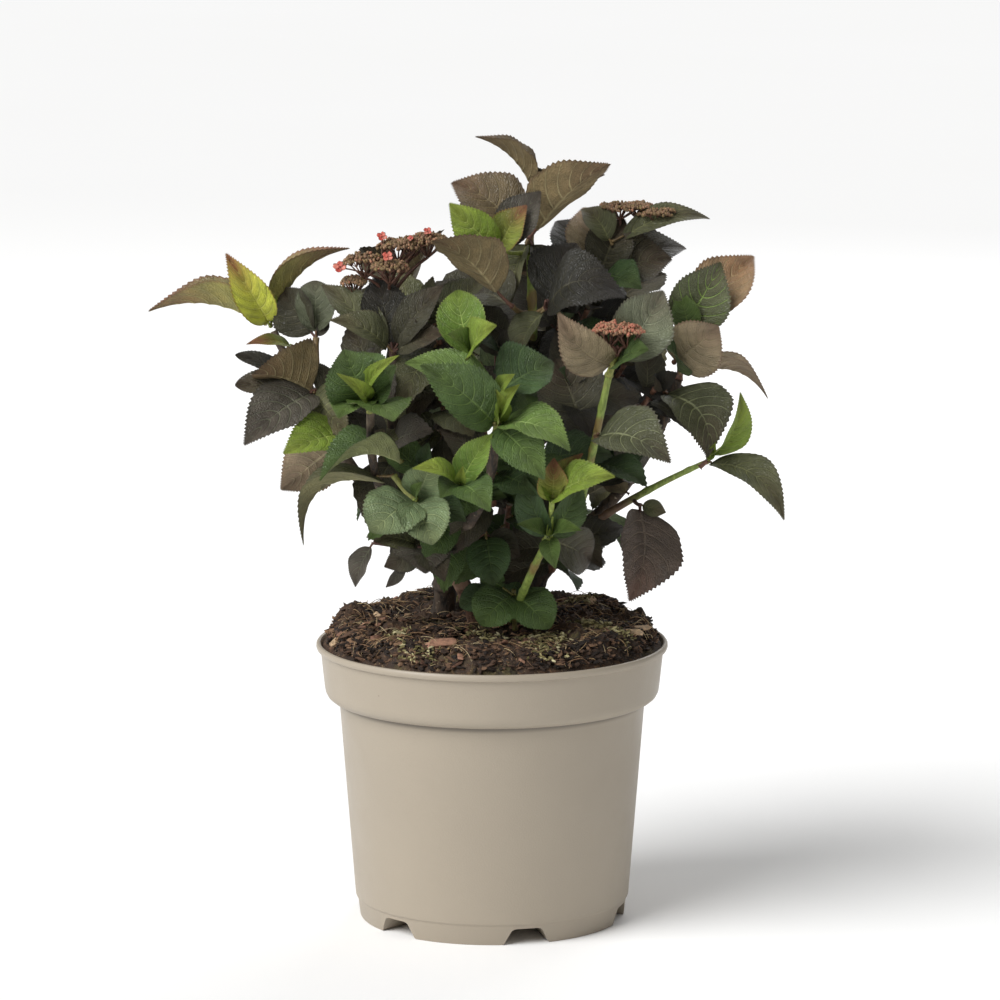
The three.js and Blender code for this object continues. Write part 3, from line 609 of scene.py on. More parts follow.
def blade_pattern(rows, columns):
    """A flat closed blade: base at x = 0, tip at x = 1, widest at y = -1 and 1."""
    bm = bmesh.new()
    bmesh.ops.create_grid(bm, x_segments=rows, y_segments=columns, size=1)
    blade_map = bm.loops.layers.uv.new("Blade")
    bm.loops.layers.uv.new("OFBake")
    under = bm.faces.layers.float.new("Under")
    for face in bm.faces:
        for loop in face.loops:
            loop[blade_map].uv = ((loop.vert.co.x + 1) / 2, (loop.vert.co.y + 1) / 2)
    both = BASE_CURVE + TIP_CURVE
    widest = BASE_CURVE ** BASE_CURVE * TIP_CURVE ** TIP_CURVE / both ** both
    for edge in bm.edges:
        edge.smooth = not edge.is_boundary
    for vert in bm.verts:
        u, m = (vert.co.x + 1) / 2, abs(vert.co.y)
        side = 1 if vert.co.y > 0 else -1
        at_edge = u + VEIN_SWEEP * 4 * u * (1 - u)
        taper = max((at_edge - 0.5) / 0.5, 0)
        half = at_edge ** BASE_CURVE * max(1 - at_edge, 0) ** TIP_CURVE / widest
        half *= 1 - TIP_DRAWN_OUT * taper * taper
        x, y = u + (at_edge - u) * m ** 1.4, m * half
        row = round(u * rows)
        if m > 0.99 and 2 < row < rows - 1:
            tooth = row % 2
            y += TOOTH * (0.8 if tooth else -0.25)
            x += 0.012 if tooth else -0.006
        swell = abs(math.sin(math.pi * (u - VEIN_CURVE * m * m) * VEIN_PAIRS))
        calm = math.sin(math.pi * min(m + 0.12, 1)) ** 0.7
        z = QUILTING * (swell - 0.5) * min(1, 2.2 * half) * calm
        z -= 0.010 * max(0, 1 - m / 0.2) * (1 - u)
        if m > 0.99 or u < 0.001 or u > 0.999:
            z = 0
        vert.co = (x, side * y, z)
    for face in add_underside(bm, BLADE_THICKNESS):
        face[under] = 1
    bmesh.ops.remove_doubles(bm, verts=bm.verts, dist=1e-6)
    return pattern_from(bm)


def bend_blade(verts, joint, reach, width, facing, luck, fold, arch, stalk=0.10, cup=0.0, sway=0.0,
               twist=0.0, wave=0.06, droop=0.06, blunt=0.0, start=(0, 0, 0)):
    """Lays a flat blade from its stalk's end to its tip, and returns the stalk as a rod.
    arch, sway and droop are shares of its length, fold and twist are degrees."""
    foot = Vector(joint) + Vector(start)
    tip = Vector(joint) + Vector(reach)
    base = foot.lerp(tip, stalk)
    length = (tip - base).length
    along = (tip - base) / length
    up = (facing - along * facing.dot(along)).normalized()
    across = up.cross(along)
    base = base + up * (arch * length * 0.35)
    folded, turned = math.radians(fold), math.radians(twist)
    beat, phase = luck.uniform(1.6, 2.6), luck.uniform(0, 6.28)
    sway += luck.uniform(-0.025, 0.025)
    half = width / 2
    for vert in verts:
        x, y, z = vert.co
        x = (x - BLUNT_TIP * blunt * max((x - 0.6) / 0.4, 0) ** 2) / (1 - BLUNT_TIP * blunt)
        bow = 4 * x * (1 - x)
        lean = 1 - 0.35 * x
        sideways = half * y * math.cos(folded * lean)
        lift = half * abs(y) * math.sin(folded * lean) + cup * half * y * y
        ripple = math.sin(6.28 * beat * x + phase + (1.3 if y > 0 else 0))
        lift += wave * half * abs(y) ** 1.5 * ripple
        angle = turned * (x - 0.25)
        sideways, lift = (sideways * math.cos(angle) - lift * math.sin(angle),
                          sideways * math.sin(angle) + lift * math.cos(angle))
        rise = arch * length * (bow - 0.35 * (1 - x)) - droop * length * x ** 3 + z * length
        aside = sideways + sway * length * bow
        vert.co = (base + along * (x * length) + up * (lift + rise) + across * aside) / 1000
    bend = foot.lerp(base, 0.5) - Vector((0, 0, 1)) * 0.06 * (base - foot).length
    return foot / 1000, bend / 1000, (base + along * length * 0.02) / 1000


def spread_bake_map(bm):
    """Gives each side of each leaf its own cell in the map that the finish is baked to."""
    blade_map, bake_map = bm.loops.layers.uv["Blade"], bm.loops.layers.uv["OFBake"]
    under = bm.faces.layers.float["Under"]
    cells, last, count = [], None, -1
    for face in bm.faces:
        if face[under] != last:
            last, count = face[under], count + 1
        cells.append(count)
    across = max(1, math.ceil(math.sqrt((count + 1) / 2)))
    down = math.ceil((count + 1) / across)
    for face, cell in zip(bm.faces, cells):
        column, row = cell % across, cell // across
        for loop in face.loops:
            u, v = (BAKE_MARGIN + (1 - 2 * BAKE_MARGIN) * part for part in loop[blade_map].uv)
            loop[bake_map].uv = ((column + u) / across, (row + v) / down)


leaf_veins = bpy.data.node_groups.new("leaf_veins", "ShaderNodeTree")
for name, kind in (("Face", "Color"), ("Tip", "Color"), ("Vein", "Color"), ("Edge", "Color"),
                   ("Underside", "Color"), ("Under Vein", "Color"), ("Tip Share", "Float"),
                   ("Vein Share", "Float")):
    leaf_veins.interface.new_socket(name, in_out="INPUT", socket_type="NodeSocket" + kind)
for name, kind in (("Colour", "Color"), ("Roughness", "Float"), ("Height", "Float")):
    leaf_veins.interface.new_socket(name, in_out="OUTPUT", socket_type="NodeSocket" + kind)
given = leaf_veins.nodes.new("NodeGroupInput").outputs
blade_place = add_node("UVMap", {}, leaf_veins, uv_map="Blade").outputs[0]
under, tint = (add_node("Attribute", {}, leaf_veins, attribute_name=name).outputs["Fac"]
               for name in ("Under", "Tint"))
place = add_node("TexCoord", {}, leaf_veins).outputs["Object"]
split = add_node("SeparateXYZ", {0: blade_place})
along, across = split.outputs["X"], split.outputs["Y"]
from_rib = sum_up("ABSOLUTE", sum_up("MULTIPLY_ADD", across, 2.0, -1.0))
wobbled = plus(along, times(sum_up("SUBTRACT", cloud(place, 150, 3), 0.5), 0.012))
rib = ease(sum_up("DIVIDE", from_rib, ease(along, 0.0, 1.0, 0.075, 0.02)), 1.0, 0.35)
curved = sum_up("SUBTRACT", wobbled, times(times(from_rib, from_rib), VEIN_CURVE))
from_vein = sum_up("PINGPONG", times(curved, float(VEIN_PAIRS)), 0.5)
vein_half = ease(from_rib, 0.0, 1.0, 0.12, 0.05)
vein = times(ease(sum_up("DIVIDE", from_vein, vein_half), 1.0, 0.3), ease(from_rib, 0.99, 0.86))
net_place = add_node("Mapping", {0: blade_place, 3: (44, 22, 1)}).outputs[0]
net = add_node("TexVoronoi", {"Vector": net_place, "Scale": 1.0},
               feature="DISTANCE_TO_EDGE").outputs["Distance"]
lines = sum_up("MAXIMUM", sum_up("MAXIMUM", rib, vein), times(ease(net, 0.10, 0.0), 0.22))
mottle = cloud(place, 95, 4, 0.6)
to_tip = ease(plus(wobbled, times(plus(mottle, tint), 0.25)), 0.55, 1.15)
above = blend(times(to_tip, given["Tip Share"]), given["Face"], given["Tip"])
above = daub(above, given["Edge"], from_rib, 0.90, 1.0, 0.75)
above = blend(times(lines, given["Vein Share"]), above, given["Vein"])
below = blend(times(times(to_tip, 0.75), given["Tip Share"]), given["Underside"], given["Tip"])
below = daub(below, given["Edge"], from_rib, 0.88, 1.0, 0.6)
below = blend(times(lines, 0.6), below, given["Under Vein"])
shade = times(ease(mottle, 0.3, 0.7, 0.80, 1.18), ease(tint, 0, 1, 0.98, 1.30))
# Darker along the sunken side veins and lighter on the quilted bulges between them: painted shade
# and painted light of the relief.
shade = times(shade, ease(from_vein, 0.0, 0.40, 0.95, 1.06))
puff = times(sum_up("MINIMUM", net, 0.3), 1.5)
up_or_down = sum_up("MULTIPLY_ADD", under, -2.0, 1.0)
height = times(sum_up("SUBTRACT", puff, times(lines, 0.9)), up_or_down)
result = leaf_veins.nodes.new("NodeGroupOutput").inputs
for name, value in (
        ("Colour", shaded(blend(under, above, below), shade)), ("Height", height),
        ("Roughness", plus(ease(mottle, 0.3, 0.7, 0.40, 0.54), times(under, 0.18)))):
    leaf_veins.links.new(value, result[name])

LEAF_TONES = {  # upper side, its tip, veins and edge, underside, its veins; share of tip and veins
    "dusk": ("3c3a2a 46382b 66634a 38322b 544c36 84775a", 0.8, 0.5),
    # The next tone is near-black painted shade, for leaves that lie deep in the hollows of the
    # crown.
    "ink": ("22211a 2c251e 45422f 211e18 4a4336 6f664e", 0.8, 0.45),
    "slate": ("4b463d 4a3f36 73755f 38342c 605b46 8b8366", 0.8, 0.55),
    "dusk_green": ("474a31 4d4135 8a8e68 3e392b 6a654c 8f8a68", 0.8, 0.65),
    "bronze": ("64563d 6c503c 8b7c57 5c4636 7b6b4a a89a72", 0.9, 0.55),
    "copper": ("746c46 755240 99945f 6e4838 8c874c a9a265", 1.0, 0.5),
    "khaki": ("897b60 806854 9f9070 6d5543 8a7a63 aea180", 0.8, 0.55),
    "rust": ("8a7254 906848 b09c74 705238 8a7350 b09c70", 0.8, 0.55),
    "olive": ("53553a 5b513a 7f8156 4a4532 716f4d 9a956c", 0.8, 0.55),
    "ash": ("676c54 665c4c 8b9174 4c473b 777461 9c9a80", 0.8, 0.55),
    "plum": ("51453b 62483b 7b6c5c 45372f 66553f 84775a", 1.0, 0.5),
    "veined": ("53573c 5e5340 87a052 4d4938 716f50 98a05e", 0.7, 0.8),
    "teal": ("3a502b 444f29 647a44 35472a 616f4a 7f8c60", 0.6, 0.5),
    "sage": ("637350 5f643e 8f9a6c 4b5436 73795a 969c72", 0.6, 0.6),
    "green": ("42572a 506129 738a4a 44572a 83885a a4a876", 0.6, 0.5),
    "fresh": ("546b30 607333 8a9f5e 647440 8f9866 b0b680", 0.6, 0.5),
    "spring": ("567027 6c7e2b 94a858 6c783a 949c60 b6bc7c", 0.6, 0.55),
    "lime": ("768d30 8d9738 aebc62 727c34 9aa45c bcc67e", 0.7, 0.5),
    # The next tone is partly the young leaf's own yellow and partly painted light, for light
    # shining through the thin leaf.
    "gold": ("d2d850 94593a e2e27c 946840 b6b858 d0ce80", 1.0, 0.5),
    "lime_red": ("7a8434 84503a adb060 845a3c 959a52 bcbe7a", 1.0, 0.5),
}
leaf_finish = {}
for tone, (codes, *shares) in LEAF_TONES.items():
    leaf_finish[tone], _, shader = new_material("leaf_" + tone)
    group = add_node("Group", {}, shader.id_data, node_tree=leaf_veins)
    for socket, value in zip(group.inputs, [paint(code) for code in codes.split()] + shares):
        socket.default_value = value
    given = group.outputs
    dress(shader, given["Colour"], given["Roughness"], given["Height"], 0.0006)
    shader.inputs["Specular IOR Level"].default_value = LEAF_GLOSS

leaf_luck = random.Random(23)
leaf_stalks = []


def leafy_piece(name, pattern, leaves):
    """Makes one piece of the leaves, each (joint, reach, width, facing, tone, bend)."""
    tones = sorted({leaf[4] for leaf in leaves})
    bm = bmesh.new()
    placed = copies(bm, pattern, len(leaves))
    tint_layer = bm.faces.layers.float["Tint"]
    for (verts, faces), (joint, reach, width, facing, tone, bend) in zip(placed, leaves):
        stalk = bend_blade(verts, joint, reach, width, facing.normalized(), leaf_luck, **bend)
        leaf_stalks.append((*stalk, width * 0.000012 + 0.0005, tone))
        own_tint = leaf_luck.random()
        for face in faces:
            face[tint_layer], face.material_index = own_tint, tones.index(tone)
    spread_bake_map(bm)
    return new_piece(name + "_blades", bm, *[leaf_finish[tone] for tone in tones])


WAYS = {"F": (0, -1, 0), "B": (0, 1, 0), "L": (-1, 0, 0), "R": (1, 0, 0), "U": (0, 0, 1)}


def leaf(across, back, up, width, look, fold=22, arch=10, stalk=10, **bend):
    """A leaf's tip from its joint and its width in mm, the ways its upper side faces and its
    tone, its fold in degrees, and its arch and stalk in hundredths of its length."""
    ways, tone = look.split()
    facing = sum((Vector(WAYS[letter]) for letter in ways), Vector())
    bend.update(fold=fold, arch=arch / 100, stalk=stalk / 100)
    return (across, back, up), width, facing, tone, bend


FRONT_SHOOTS = [  # name, slot, and for each shoot its joint in mm and its leaves
    ("leaves_summit", "leaf_bronze", [
        ((13, -60, 411), leaf(-50, -38, 48, 46, "BBUR bronze", 28, 7, 20),
         leaf(-25, 42, 2, 40, "FU dusk")),
        ((34, -46, 408), leaf(52, -14, 6, 48, "UF ink", 10, 42, 3), leaf(20, 20, 40, 42, "FU ink"),
         leaf(-18, -14, -30, 26, "FL olive", 32)),
        ((4, -38, 444), leaf(-31, -6, 31, 28, "F lime", 24, 10, 4),
         leaf(18, -8, 30, 26, "FFL lime_red", 30, 10, 5), leaf(27, 2, 38, 30, "FFL slate", 24)),
        ((24, -20, 450), leaf(50, -40, 54, 48, "BBLU bronze", 34, 6),
         leaf(48, 34, 38, 34, "BU bronze", 28), leaf(-50, 24, 34, 44, "FU bronze", 24),
         leaf(-12, -14, -40, 32, "FL olive", 32), leaf(12, -10, -42, 32, "FR dusk", 32)),
        ((28, -20, 480), leaf(-38, 0, 36, 36, "U bronze", 46, 10, 5),
         leaf(12, -3, 12, 24, "BU dusk", 30, 10, 5))]),
    ("leaves_far_left", "leaf_bronze", [
        ((-143, -5, 391), leaf(-79, 0, 11, 44, "U copper", 58, 11, 3, wave=0.03),
         # This small leaf's pale yellow is partly painted light shining through it.
         leaf(-27, -27, 50, 26, "F gold", 28, 10, 5),
         leaf(51, 0, 51, 36, "LU copper", 54, 14, 5, wave=0.03),
         leaf(-14, -32, -7, 11, "FU lime_red", 18, start=(16, -8, -12)),
         leaf(4, -4, 22, 6, "F lime"))]),
    ("leaves_left", "leaf_dusk", [
        ((-113, -25, 386), leaf(-1, 10, 36, 27, "F ash", 20, blunt=1),
         leaf(-22, 20, 30, 34, "FFL dusk", 24), leaf(8, 6, 12, 8, "F slate")),
        ((-114, -45, 354), leaf(-38, -20, 16, 60, "BBUR bronze", 32, 5, 4),
         leaf(-50, -4, 6, 21, "FU dusk", 22, 6, blunt=1),
         leaf(-50, 4, 24, 14, "FU ink", 20, blunt=1), leaf(-42, -50, -25, 40, "FU slate", 24, 6, 3),
         leaf(23, -31, -24, 34, "F olive", 24, 10, 3), leaf(16, 6, 10, 30, "F dusk", 18))]),
    ("leaves_left_low", "leaf_lime", [
        ((-89, -60, 330), leaf(-42, -41, -6, 36, "FU lime", 24, 8),
         leaf(-46, 0, -37, 40, "B khaki", 26, 10, 25))]),
    ("leaves_left_drop", "leaf_bronze", [
        ((-62, -84, 306), leaf(-46, -30, 1, 44, "U green", 50, 18, 2, start=(5, -2, 9)),
         leaf(-56, 14, -50, 32, "LU olive", 50, 30, wave=0.03))]),
    ("leaves_far_right", "leaf_green", [
        ((139, -25, 305), leaf(21, -12, 47, 25, "FR lime", 32, sway=-0.06),
         leaf(48, -37, -31, 27, "FFRU olive", 24, 12, 3, sway=0.11),
         leaf(5, -6, 14, 6, "F lime"))]),
    ("leaves_right_crest", "leaf_bronze", [
        ((122, 0, 359), leaf(57, 0, -17, 34, "UR khaki", 42, 20, 8, wave=0.03),
         leaf(17, -34, -49, 46, "FFR dusk_green", 30, 10, 3, sway=0.18, start=(-10, -6, -11)),
         leaf(-17, -34, 27, 34, "FU teal"),
         leaf(24, -14, 33, 42, "F khaki", 20, 10, 3, start=(-4, -2, 8), blunt=0.5)),
        ((129, 10, 384), leaf(42, 30, 48, 42, "FU rust", 26),
         leaf(19, -4, 47, 42, "F veined", 24, 8, 4, start=(-7, 0, 2)),
         leaf(-8, -10, 30, 20, "F fresh"))]),
    ("leaves_top_right", "leaf_dusk", [
        ((70, 20, 421), leaf(-30, -30, -12, 44, "FU dusk", 20), leaf(-28, 37, 32, 34, "FU ink"),
         leaf(26, -36, -4, 30, "FU teal"), leaf(47, 0, 11, 46, "FU dusk", 20),
         leaf(-10, 26, 42, 38, "FU khaki"),
         leaf(72, 12, 38, 20, "UF olive", 24, 14, droop=0.12, start=(8, 0, 22)),
         leaf(58, 40, 14, 34, "FU dusk"),
         leaf(-12, 10, 42, 24, "UF olive", 28, 22, droop=0.1, start=(8, 0, 20)),
         leaf(16, 10, 36, 34, "FU dusk"))]),
    ("leaves_left_head", "leaf_dusk", [
        ((-63, -55, 381), leaf(32, 4, 43, 25, "FU dusk", 28), leaf(-46, 24, 41, 26, "UF olive", 28),
         leaf(-40, -12, 22, 25, "UF olive", 32, 18), leaf(-12, 24, 46, 32, "FU ink"),
         leaf(33, -12, 14, 28, "FU dusk", 26))]),
    ("leaves_right_head", "leaf_bronze", [
        ((76, -85, 376), leaf(33, 20, 46, 42, "F ash", 24),
         leaf(-34, -26, 37, 31, "F khaki", 24, 8, 3, sway=0.12),
         leaf(22, -22, 14, 30, "FU green", 24))]),
    ("leaves_green_left", "leaf_green", [
        ((-78, -115, 356), leaf(-14, -20, 37, 42, "F green", 22, 8, 3, blunt=0.7),
         leaf(-6, 39, 29, 34, "FU green"), leaf(18, -8, 26, 32, "FU green", 26, 10, 2),
         leaf(20, -34, 36, 13, "FL lime", 40, 10, 2, sway=0.05),
         leaf(-18, -34, 25, 13, "FR lime", 40, 16, 2), leaf(17, -34, -5, 42, "U fresh", 8, 14, 2),
         leaf(-17, -28, -4, 32, "U fresh", 8, 14, 2))]),
    ("leaves_lit_pair", "leaf_lime", [
        ((-13, -92, 384), leaf(-9, 14, 40, 33, "F spring", 26, 10, 4, blunt=0.7),
         leaf(16, -22, 22, 30, "FU lime", 22, 14, 4),
         leaf(-14, -16, 16, 22, "FU spring", stalk=4))]),
    ("leaves_centre", "leaf_green", [
        ((5, -104, 363), leaf(34, 12, 17, 46, "FU teal", 30, 10, 3),
         leaf(-60, 20, 16, 28, "UF fresh", 20), leaf(9, -22, 14, 12, "FL lime", 32)),
        ((3, -110, 342), leaf(-47, -17, 41, 40, "FFU green", 30, 10, 3),
         leaf(14, -12, 28, 17, "FL lime", 42, 10, 2), leaf(0, -14, 25, 15, "FR lime", 42, 10, 2),
         leaf(46, -27, -12, 36, "UUF fresh", 18, 18, 3),
         leaf(30, -24, -30, 32, "FFU green", 24, 12, 3), leaf(-30, -4, 10, 24, "FU teal"))]),
    ("leaves_front_left", "leaf_green", [
        ((-48, -100, 293), leaf(-27, -30, -15, 40, "FU sage", 16, 12, 4, blunt=1),
         leaf(10, -10, 24, 28, "F sage", 20, blunt=1),
         leaf(11, -34, -22, 36, "FU sage", 30, 10, 4, blunt=1),
         leaf(32, -8, -12, 24, "FU teal", 20), leaf(4, -14, 14, 10, "FL fresh", 32))]),
    ("leaves_low_left", "leaf_dusk", [
        ((-44, -58, 256), leaf(-24, -6, -26, 8, "F slate", stalk=50),
         leaf(2, -30, -12, 42, "FU slate", 18), leaf(14, -34, -16, 24, "FU dusk", 20),
         leaf(-36, -10, 8, 24, "FU olive", 20), leaf(-25, -4, -13, 20, "F dusk", 24)),
        ((-76, -62, 259), leaf(-12, 0, -29, 18, "FL slate", 26))]),
    ("leaves_lime_left", "leaf_lime", [
        ((-20, -118, 306), leaf(-30, -14, 12, 16, "FU lime", 30, 22),
         leaf(20, -4, 33, 23, "FFL spring", 30, 8, 3),
         leaf(19, -30, -12, 28, "FU green", 22, 14, 2), leaf(-12, -19, -5, 20, "FU green", stalk=2),
         leaf(2, -16, 14, 9, "F lime", 36))]),
    ("leaves_lime_right", "leaf_lime", [
        ((36, -97, 268), leaf(-16, 2, 40, 25, "FFL teal", 30, 10, 3),
         leaf(21, 2, 36, 25, "FFR green", 30, 10, 3), leaf(-20, -16, 12, 15, "FU fresh", 38, 10, 2),
         leaf(4, -18, -16, 15, "F fresh", 34, 10, 2), leaf(20, -20, 9, 15, "FU fresh", 38, 10, 2),
         leaf(28, 30, -20, 32, "FR dusk")),
        ((38, -112, 294), leaf(38, -33, 22, 30, "FU lime", stalk=2),
         leaf(19, 0, 31, 18, "FL lime_red", 32, 10, 3),
         leaf(1, -8, 29, 22, "F lime_red", 30, 10, 3),
         leaf(-9, -8, 18, 14, "FR lime", 30, 10, 3))]),
    ("leaves_right_veined", "leaf_bronze", [
        ((66, -88, 332), leaf(46, -38, -11, 44, "FU dusk_green", 26, 16, 3),
         leaf(26, 84, -44, 36, "FR dusk", start=(12, 70, -6)),
         leaf(-26, 40, 44, 48, "FU dusk", 20, start=(-8, 26, 2)))]),
    ("leaves_right_drop", "leaf_dusk", [
        ((95, -42, 280), leaf(-6, -30, -57, 50, "FFR plum", 26, 6, 5, sway=0.05),
         leaf(17, 0, -5, 12, "FR olive"),
         leaf(-23, 40, 9, 18, "FU khaki", 26, start=(-6, 30, 2)))]),
    ("leaves_foot", "leaf_green", [
        ((14, -40, 221), leaf(-21, -26, -15, 33, "FU green", 14, 12, 4, blunt=1),
         leaf(23, -26, -17, 32, "FU green", 18, 12, 4, blunt=1),
         leaf(-35, -6, -6, 22, "FU teal", stalk=30, blunt=1),
         leaf(-22, 4, 14, 18, "F green", stalk=30)),
        ((-4, -46, 262), leaf(5, -16, -31, 32, "F teal", 34, cup=0.35, blunt=0.6),
         leaf(22, -6, -14, 24, "F dusk"))]),
]

front_blade = blade_pattern(48, 8)
for name, slot, shoots in FRONT_SHOOTS:
    leaves = [(joint, *blade) for joint, *blades in shoots for blade in blades]
    piece = leafy_piece(name, front_blade, leaves)
    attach(piece, "root")
    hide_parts(name)

# ---- leaves inside and at the back ----------------------------------------------------------
# The shoots inside and behind carry the same leaves, in crosswise pairs down a leaning twig.
# Shaded ones are larger and darker, and lie flatter; the darkest tone among them is painted shade.

BACK_SHOOTS = [  # name, slot, and for each shoot its joint in mm, turn, pair lengths and tones
    ("leaves_inner_left", "leaf_dusk", [
        ((-30, -28, 336), 20, (62, 54), "dusk slate olive teal"),
        ((-64, -34, 312), 70, (58, 50), "dusk olive slate"),
        ((-70, -30, 352), 10, (60, 50), "dusk slate"),
        ((-38, -52, 292), 45, (56, 46), "teal green dusk"),
        ((-34, -30, 384), 60, (60, 50), "olive teal dusk")]),
    # The darkest tone on these shoots is painted shade, for the hollow on the right of the crown.
    ("leaves_inner_right", "leaf_dusk", [
        ((78, 14, 352), 65, (54, 46), "ink dusk ink"),
        ((46, -34, 344), 20, (56, 48), "teal ink dusk"),
        ((96, 2, 338), 35, (52, 44), "ink dusk ink"),
        ((56, 12, 388), 80, (58, 50), "ink dusk"),
        ((62, -26, 300), 50, (54, 46), "dusk teal")]),
    ("leaves_inner_low", "leaf_dusk", [
        ((10, -30, 266), 40, (54, 46), "teal green teal slate"),
        ((-24, -50, 276), 75, (50, 42), "teal green"),
        ((26, -62, 312), 15, (58, 48), "teal green"),
        ((0, -66, 300), 50, (56, 48), "teal dusk green"),
        ((44, -30, 250), 30, (50, 42), "dusk teal"),
        ((20, 0, 236), 60, (44, 38), "teal green dusk")]),
    ("leaves_inner_top", "leaf_dusk", [
        ((4, 22, 398), 15, (62, 54), "dusk slate olive"),
        ((-36, 16, 388), 50, (60, 50), "dusk olive"),
        ((40, 8, 380), 70, (60, 52), "dusk slate teal"),
        ((6, -18, 362), 30, (60, 52), "teal slate dusk")]),
    ("leaves_back_left", "leaf_dusk", [
        ((-58, 80, 388), 62, (62, 58, 42), "dusk slate bronze olive")]),
    ("leaves_back_right", "leaf_bronze", [
        ((72, 88, 384), 30, (70, 62, 46), "bronze dusk olive slate")]),
    ("leaves_back_middle", "leaf_green", [
        ((-6, 112, 330), 45, (68, 60, 44), "green teal sage olive"),
        ((6, 74, 380), 20, (62, 54), "dusk olive slate")]),
    ("leaves_back_low_left", "leaf_green", [
        ((-48, 68, 284), 62, (56, 50, 36), "green teal slate"),
        ((-82, 38, 322), 20, (58, 50), "dusk olive teal")]),
    ("leaves_back_low_right", "leaf_dusk", [
        ((56, 50, 262), 35, (54, 50, 36), "dusk slate teal"),
        ((88, 46, 326), 60, (58, 50), "dusk olive")]),
]
FIRST_PAIR_RISE, PAIR_RISE, TOP_PAIR_RISE = 2, 22, 60    # degrees
PAIR_GAP = 9.0                     # mm along the shoot from one pair to the next
LEAF_BREADTH = 0.58                # of its length

between = leaf_luck.uniform
back_blade = blade_pattern(16, 4)
twig_paths = []
for name, slot, shoots in BACK_SHOOTS:
    leaves = []
    for joint, turn, lengths, tone_names in shoots:
        joint = Vector(joint)
        axis = (Vector((joint.x, joint.y, 0)).normalized() * 0.7 + Vector((0, 0, 1))).normalized()
        if "inner" in name:
            axis = Vector((joint.x / 160, -0.75, 0.8)).normalized()
        to_axis = Vector((0, 0, 1)).rotation_difference(axis)
        top = PAIR_GAP * len(lengths)
        pairs = [(0, FIRST_PAIR_RISE + PAIR_RISE * k, length, PAIR_GAP * k)
                 for k, length in enumerate(lengths)]
        pairs += [(0, TOP_PAIR_RISE, lengths[-1] * 0.5, top), (1, -10, lengths[0] * 0.9, -16.0)]
        if "back" in name:
            pairs.append((0, -20, lengths[0] * 0.76, -42.0))
        for k, (cross, rise, length, up) in enumerate(pairs):
            for opposite in (0, 180):
                bearing = math.radians(turn + 90 * (k + cross) + opposite + between(-9, 9))
                lift = math.radians(rise + between(-7, 7))
                way = to_axis @ Vector((math.cos(lift) * math.cos(bearing),
                                        math.cos(lift) * math.sin(bearing), math.sin(lift)))
                long = length * between(0.9, 1.0)
                leaves.append((joint + axis * up, way * long,
                               LEAF_BREADTH * long * between(0.95, 1.1), axis,
                               leaf_luck.choice(tone_names.split()),
                               dict(arch=between(0.05, 0.14), fold=between(14, 28),
                                    droop=between(0, 0.10), twist=between(-14, 14))))
        twig_paths.append((joint - axis * (44 if "back" in name else 24), joint + axis * (top + 2)))
    piece = leafy_piece(name, back_blade, leaves)
    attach(piece, "root")
    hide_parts(name)

# ---- twigs and leaf stalks ------------------------------------------------------------------
# Short twigs join the shoots to the boughs, and each leaf has a stout stalk of its own. Both are
# red-brown on the dark shoots and green on the young ones.

TWIGS = [  # from, to, in mm, radii at both ends, and tint: 0 is brown and 1 is lime
    ((24, -18, 446), (28, -20, 486), 2.4, 1.6, 0.55), ((22, -30, 402), (13, -60, 411), 2, 1.5, 0.5),
    ((22, -32, 400), (34, -46, 408), 1.8, 1.4, 0.5), ((24, -22, 440), (4, -38, 444), 1.5, 1.2, 0.9),
    ((-110, -43, 348), (-113, -25, 386), 2.4, 1.7, 0.5),
    ((-110, -43, 348), (-114, -45, 354), 2.8, 2, 0.3),
    ((-92, -34, 322), (-89, -60, 330), 2.2, 1.8, 0.6),
    ((-49, -92, 292), (-62, -84, 306), 2.2, 1.8, 0.8),
    ((-33, -38, 247), (-44, -58, 256), 2.6, 2, 0.2),
    ((-44, -58, 256), (-76, -62, 259), 1.6, 1.1, 0.1),
    ((2, -102, 334), (5, -104, 366), 2.3, 1.6, 0.85),
    ((5, -104, 363), (-13, -92, 384), 1.9, 1.5, 0.9),
    ((2, -102, 334), (3, -110, 342), 2.3, 1.9, 0.85),
    ((-14, -78, 290), (-20, -118, 306), 2, 1.6, 0.85),
    ((35, -90, 265), (36, -97, 270), 2.6, 2.3, 0.9),
    ((36, -97, 268), (38, -112, 296), 2.2, 1.7, 0.95),
    ((66, -74, 332), (66, -88, 332), 2, 1.7, 0.6), ((92, -16, 279), (95, -42, 280), 1.5, 1.1, 0.1),
    ((134, -25, 302), (139, -26, 306), 1.9, 1.4, 0.35),
    ((121, 0, 355), (129, 10, 386), 2.3, 1.7, 0.25),
    ((-76, -108, 351), (-78, -115, 362), 2.2, 1.6, 0.8),
    ((-63, -50, 376), (-64, -44, 392), 2.5, 2.3, 0.1),
    ((70, 22, 417), (76, 26, 438), 2.5, 2.2, 0.3), ((74, -82, 370), (78, -90, 384), 2.3, 2, 0.8),
    ((15, -30, 196), (14, -40, 224), 1.6, 1.2, 0.7), ((-44, 0, 262), (-46, -10, 300), 2.6, 2, 0.2),
    ((52, -8, 253), (58, -14, 312), 2.6, 2, 0.2), ((-30, -36, 240), (-4, -46, 264), 1.8, 1.3, 0.3),
    ((20, 30, 300), (4, 16, 356), 2.8, 2, 0.2), ((-56, 70, 366), (-46, 60, 344), 2.4, 2.2, 0.2),
    ((68, 80, 364), (56, 68, 340), 2.4, 2.2, 0.2), ((20, 30, 300), (-4, 84, 296), 2.8, 2.2, 0.3),
    ((-10, 52, 262), (-34, 48, 250), 2.4, 2, 0.3), ((30, 16, 216), (42, 38, 226), 2.4, 2, 0.2)]
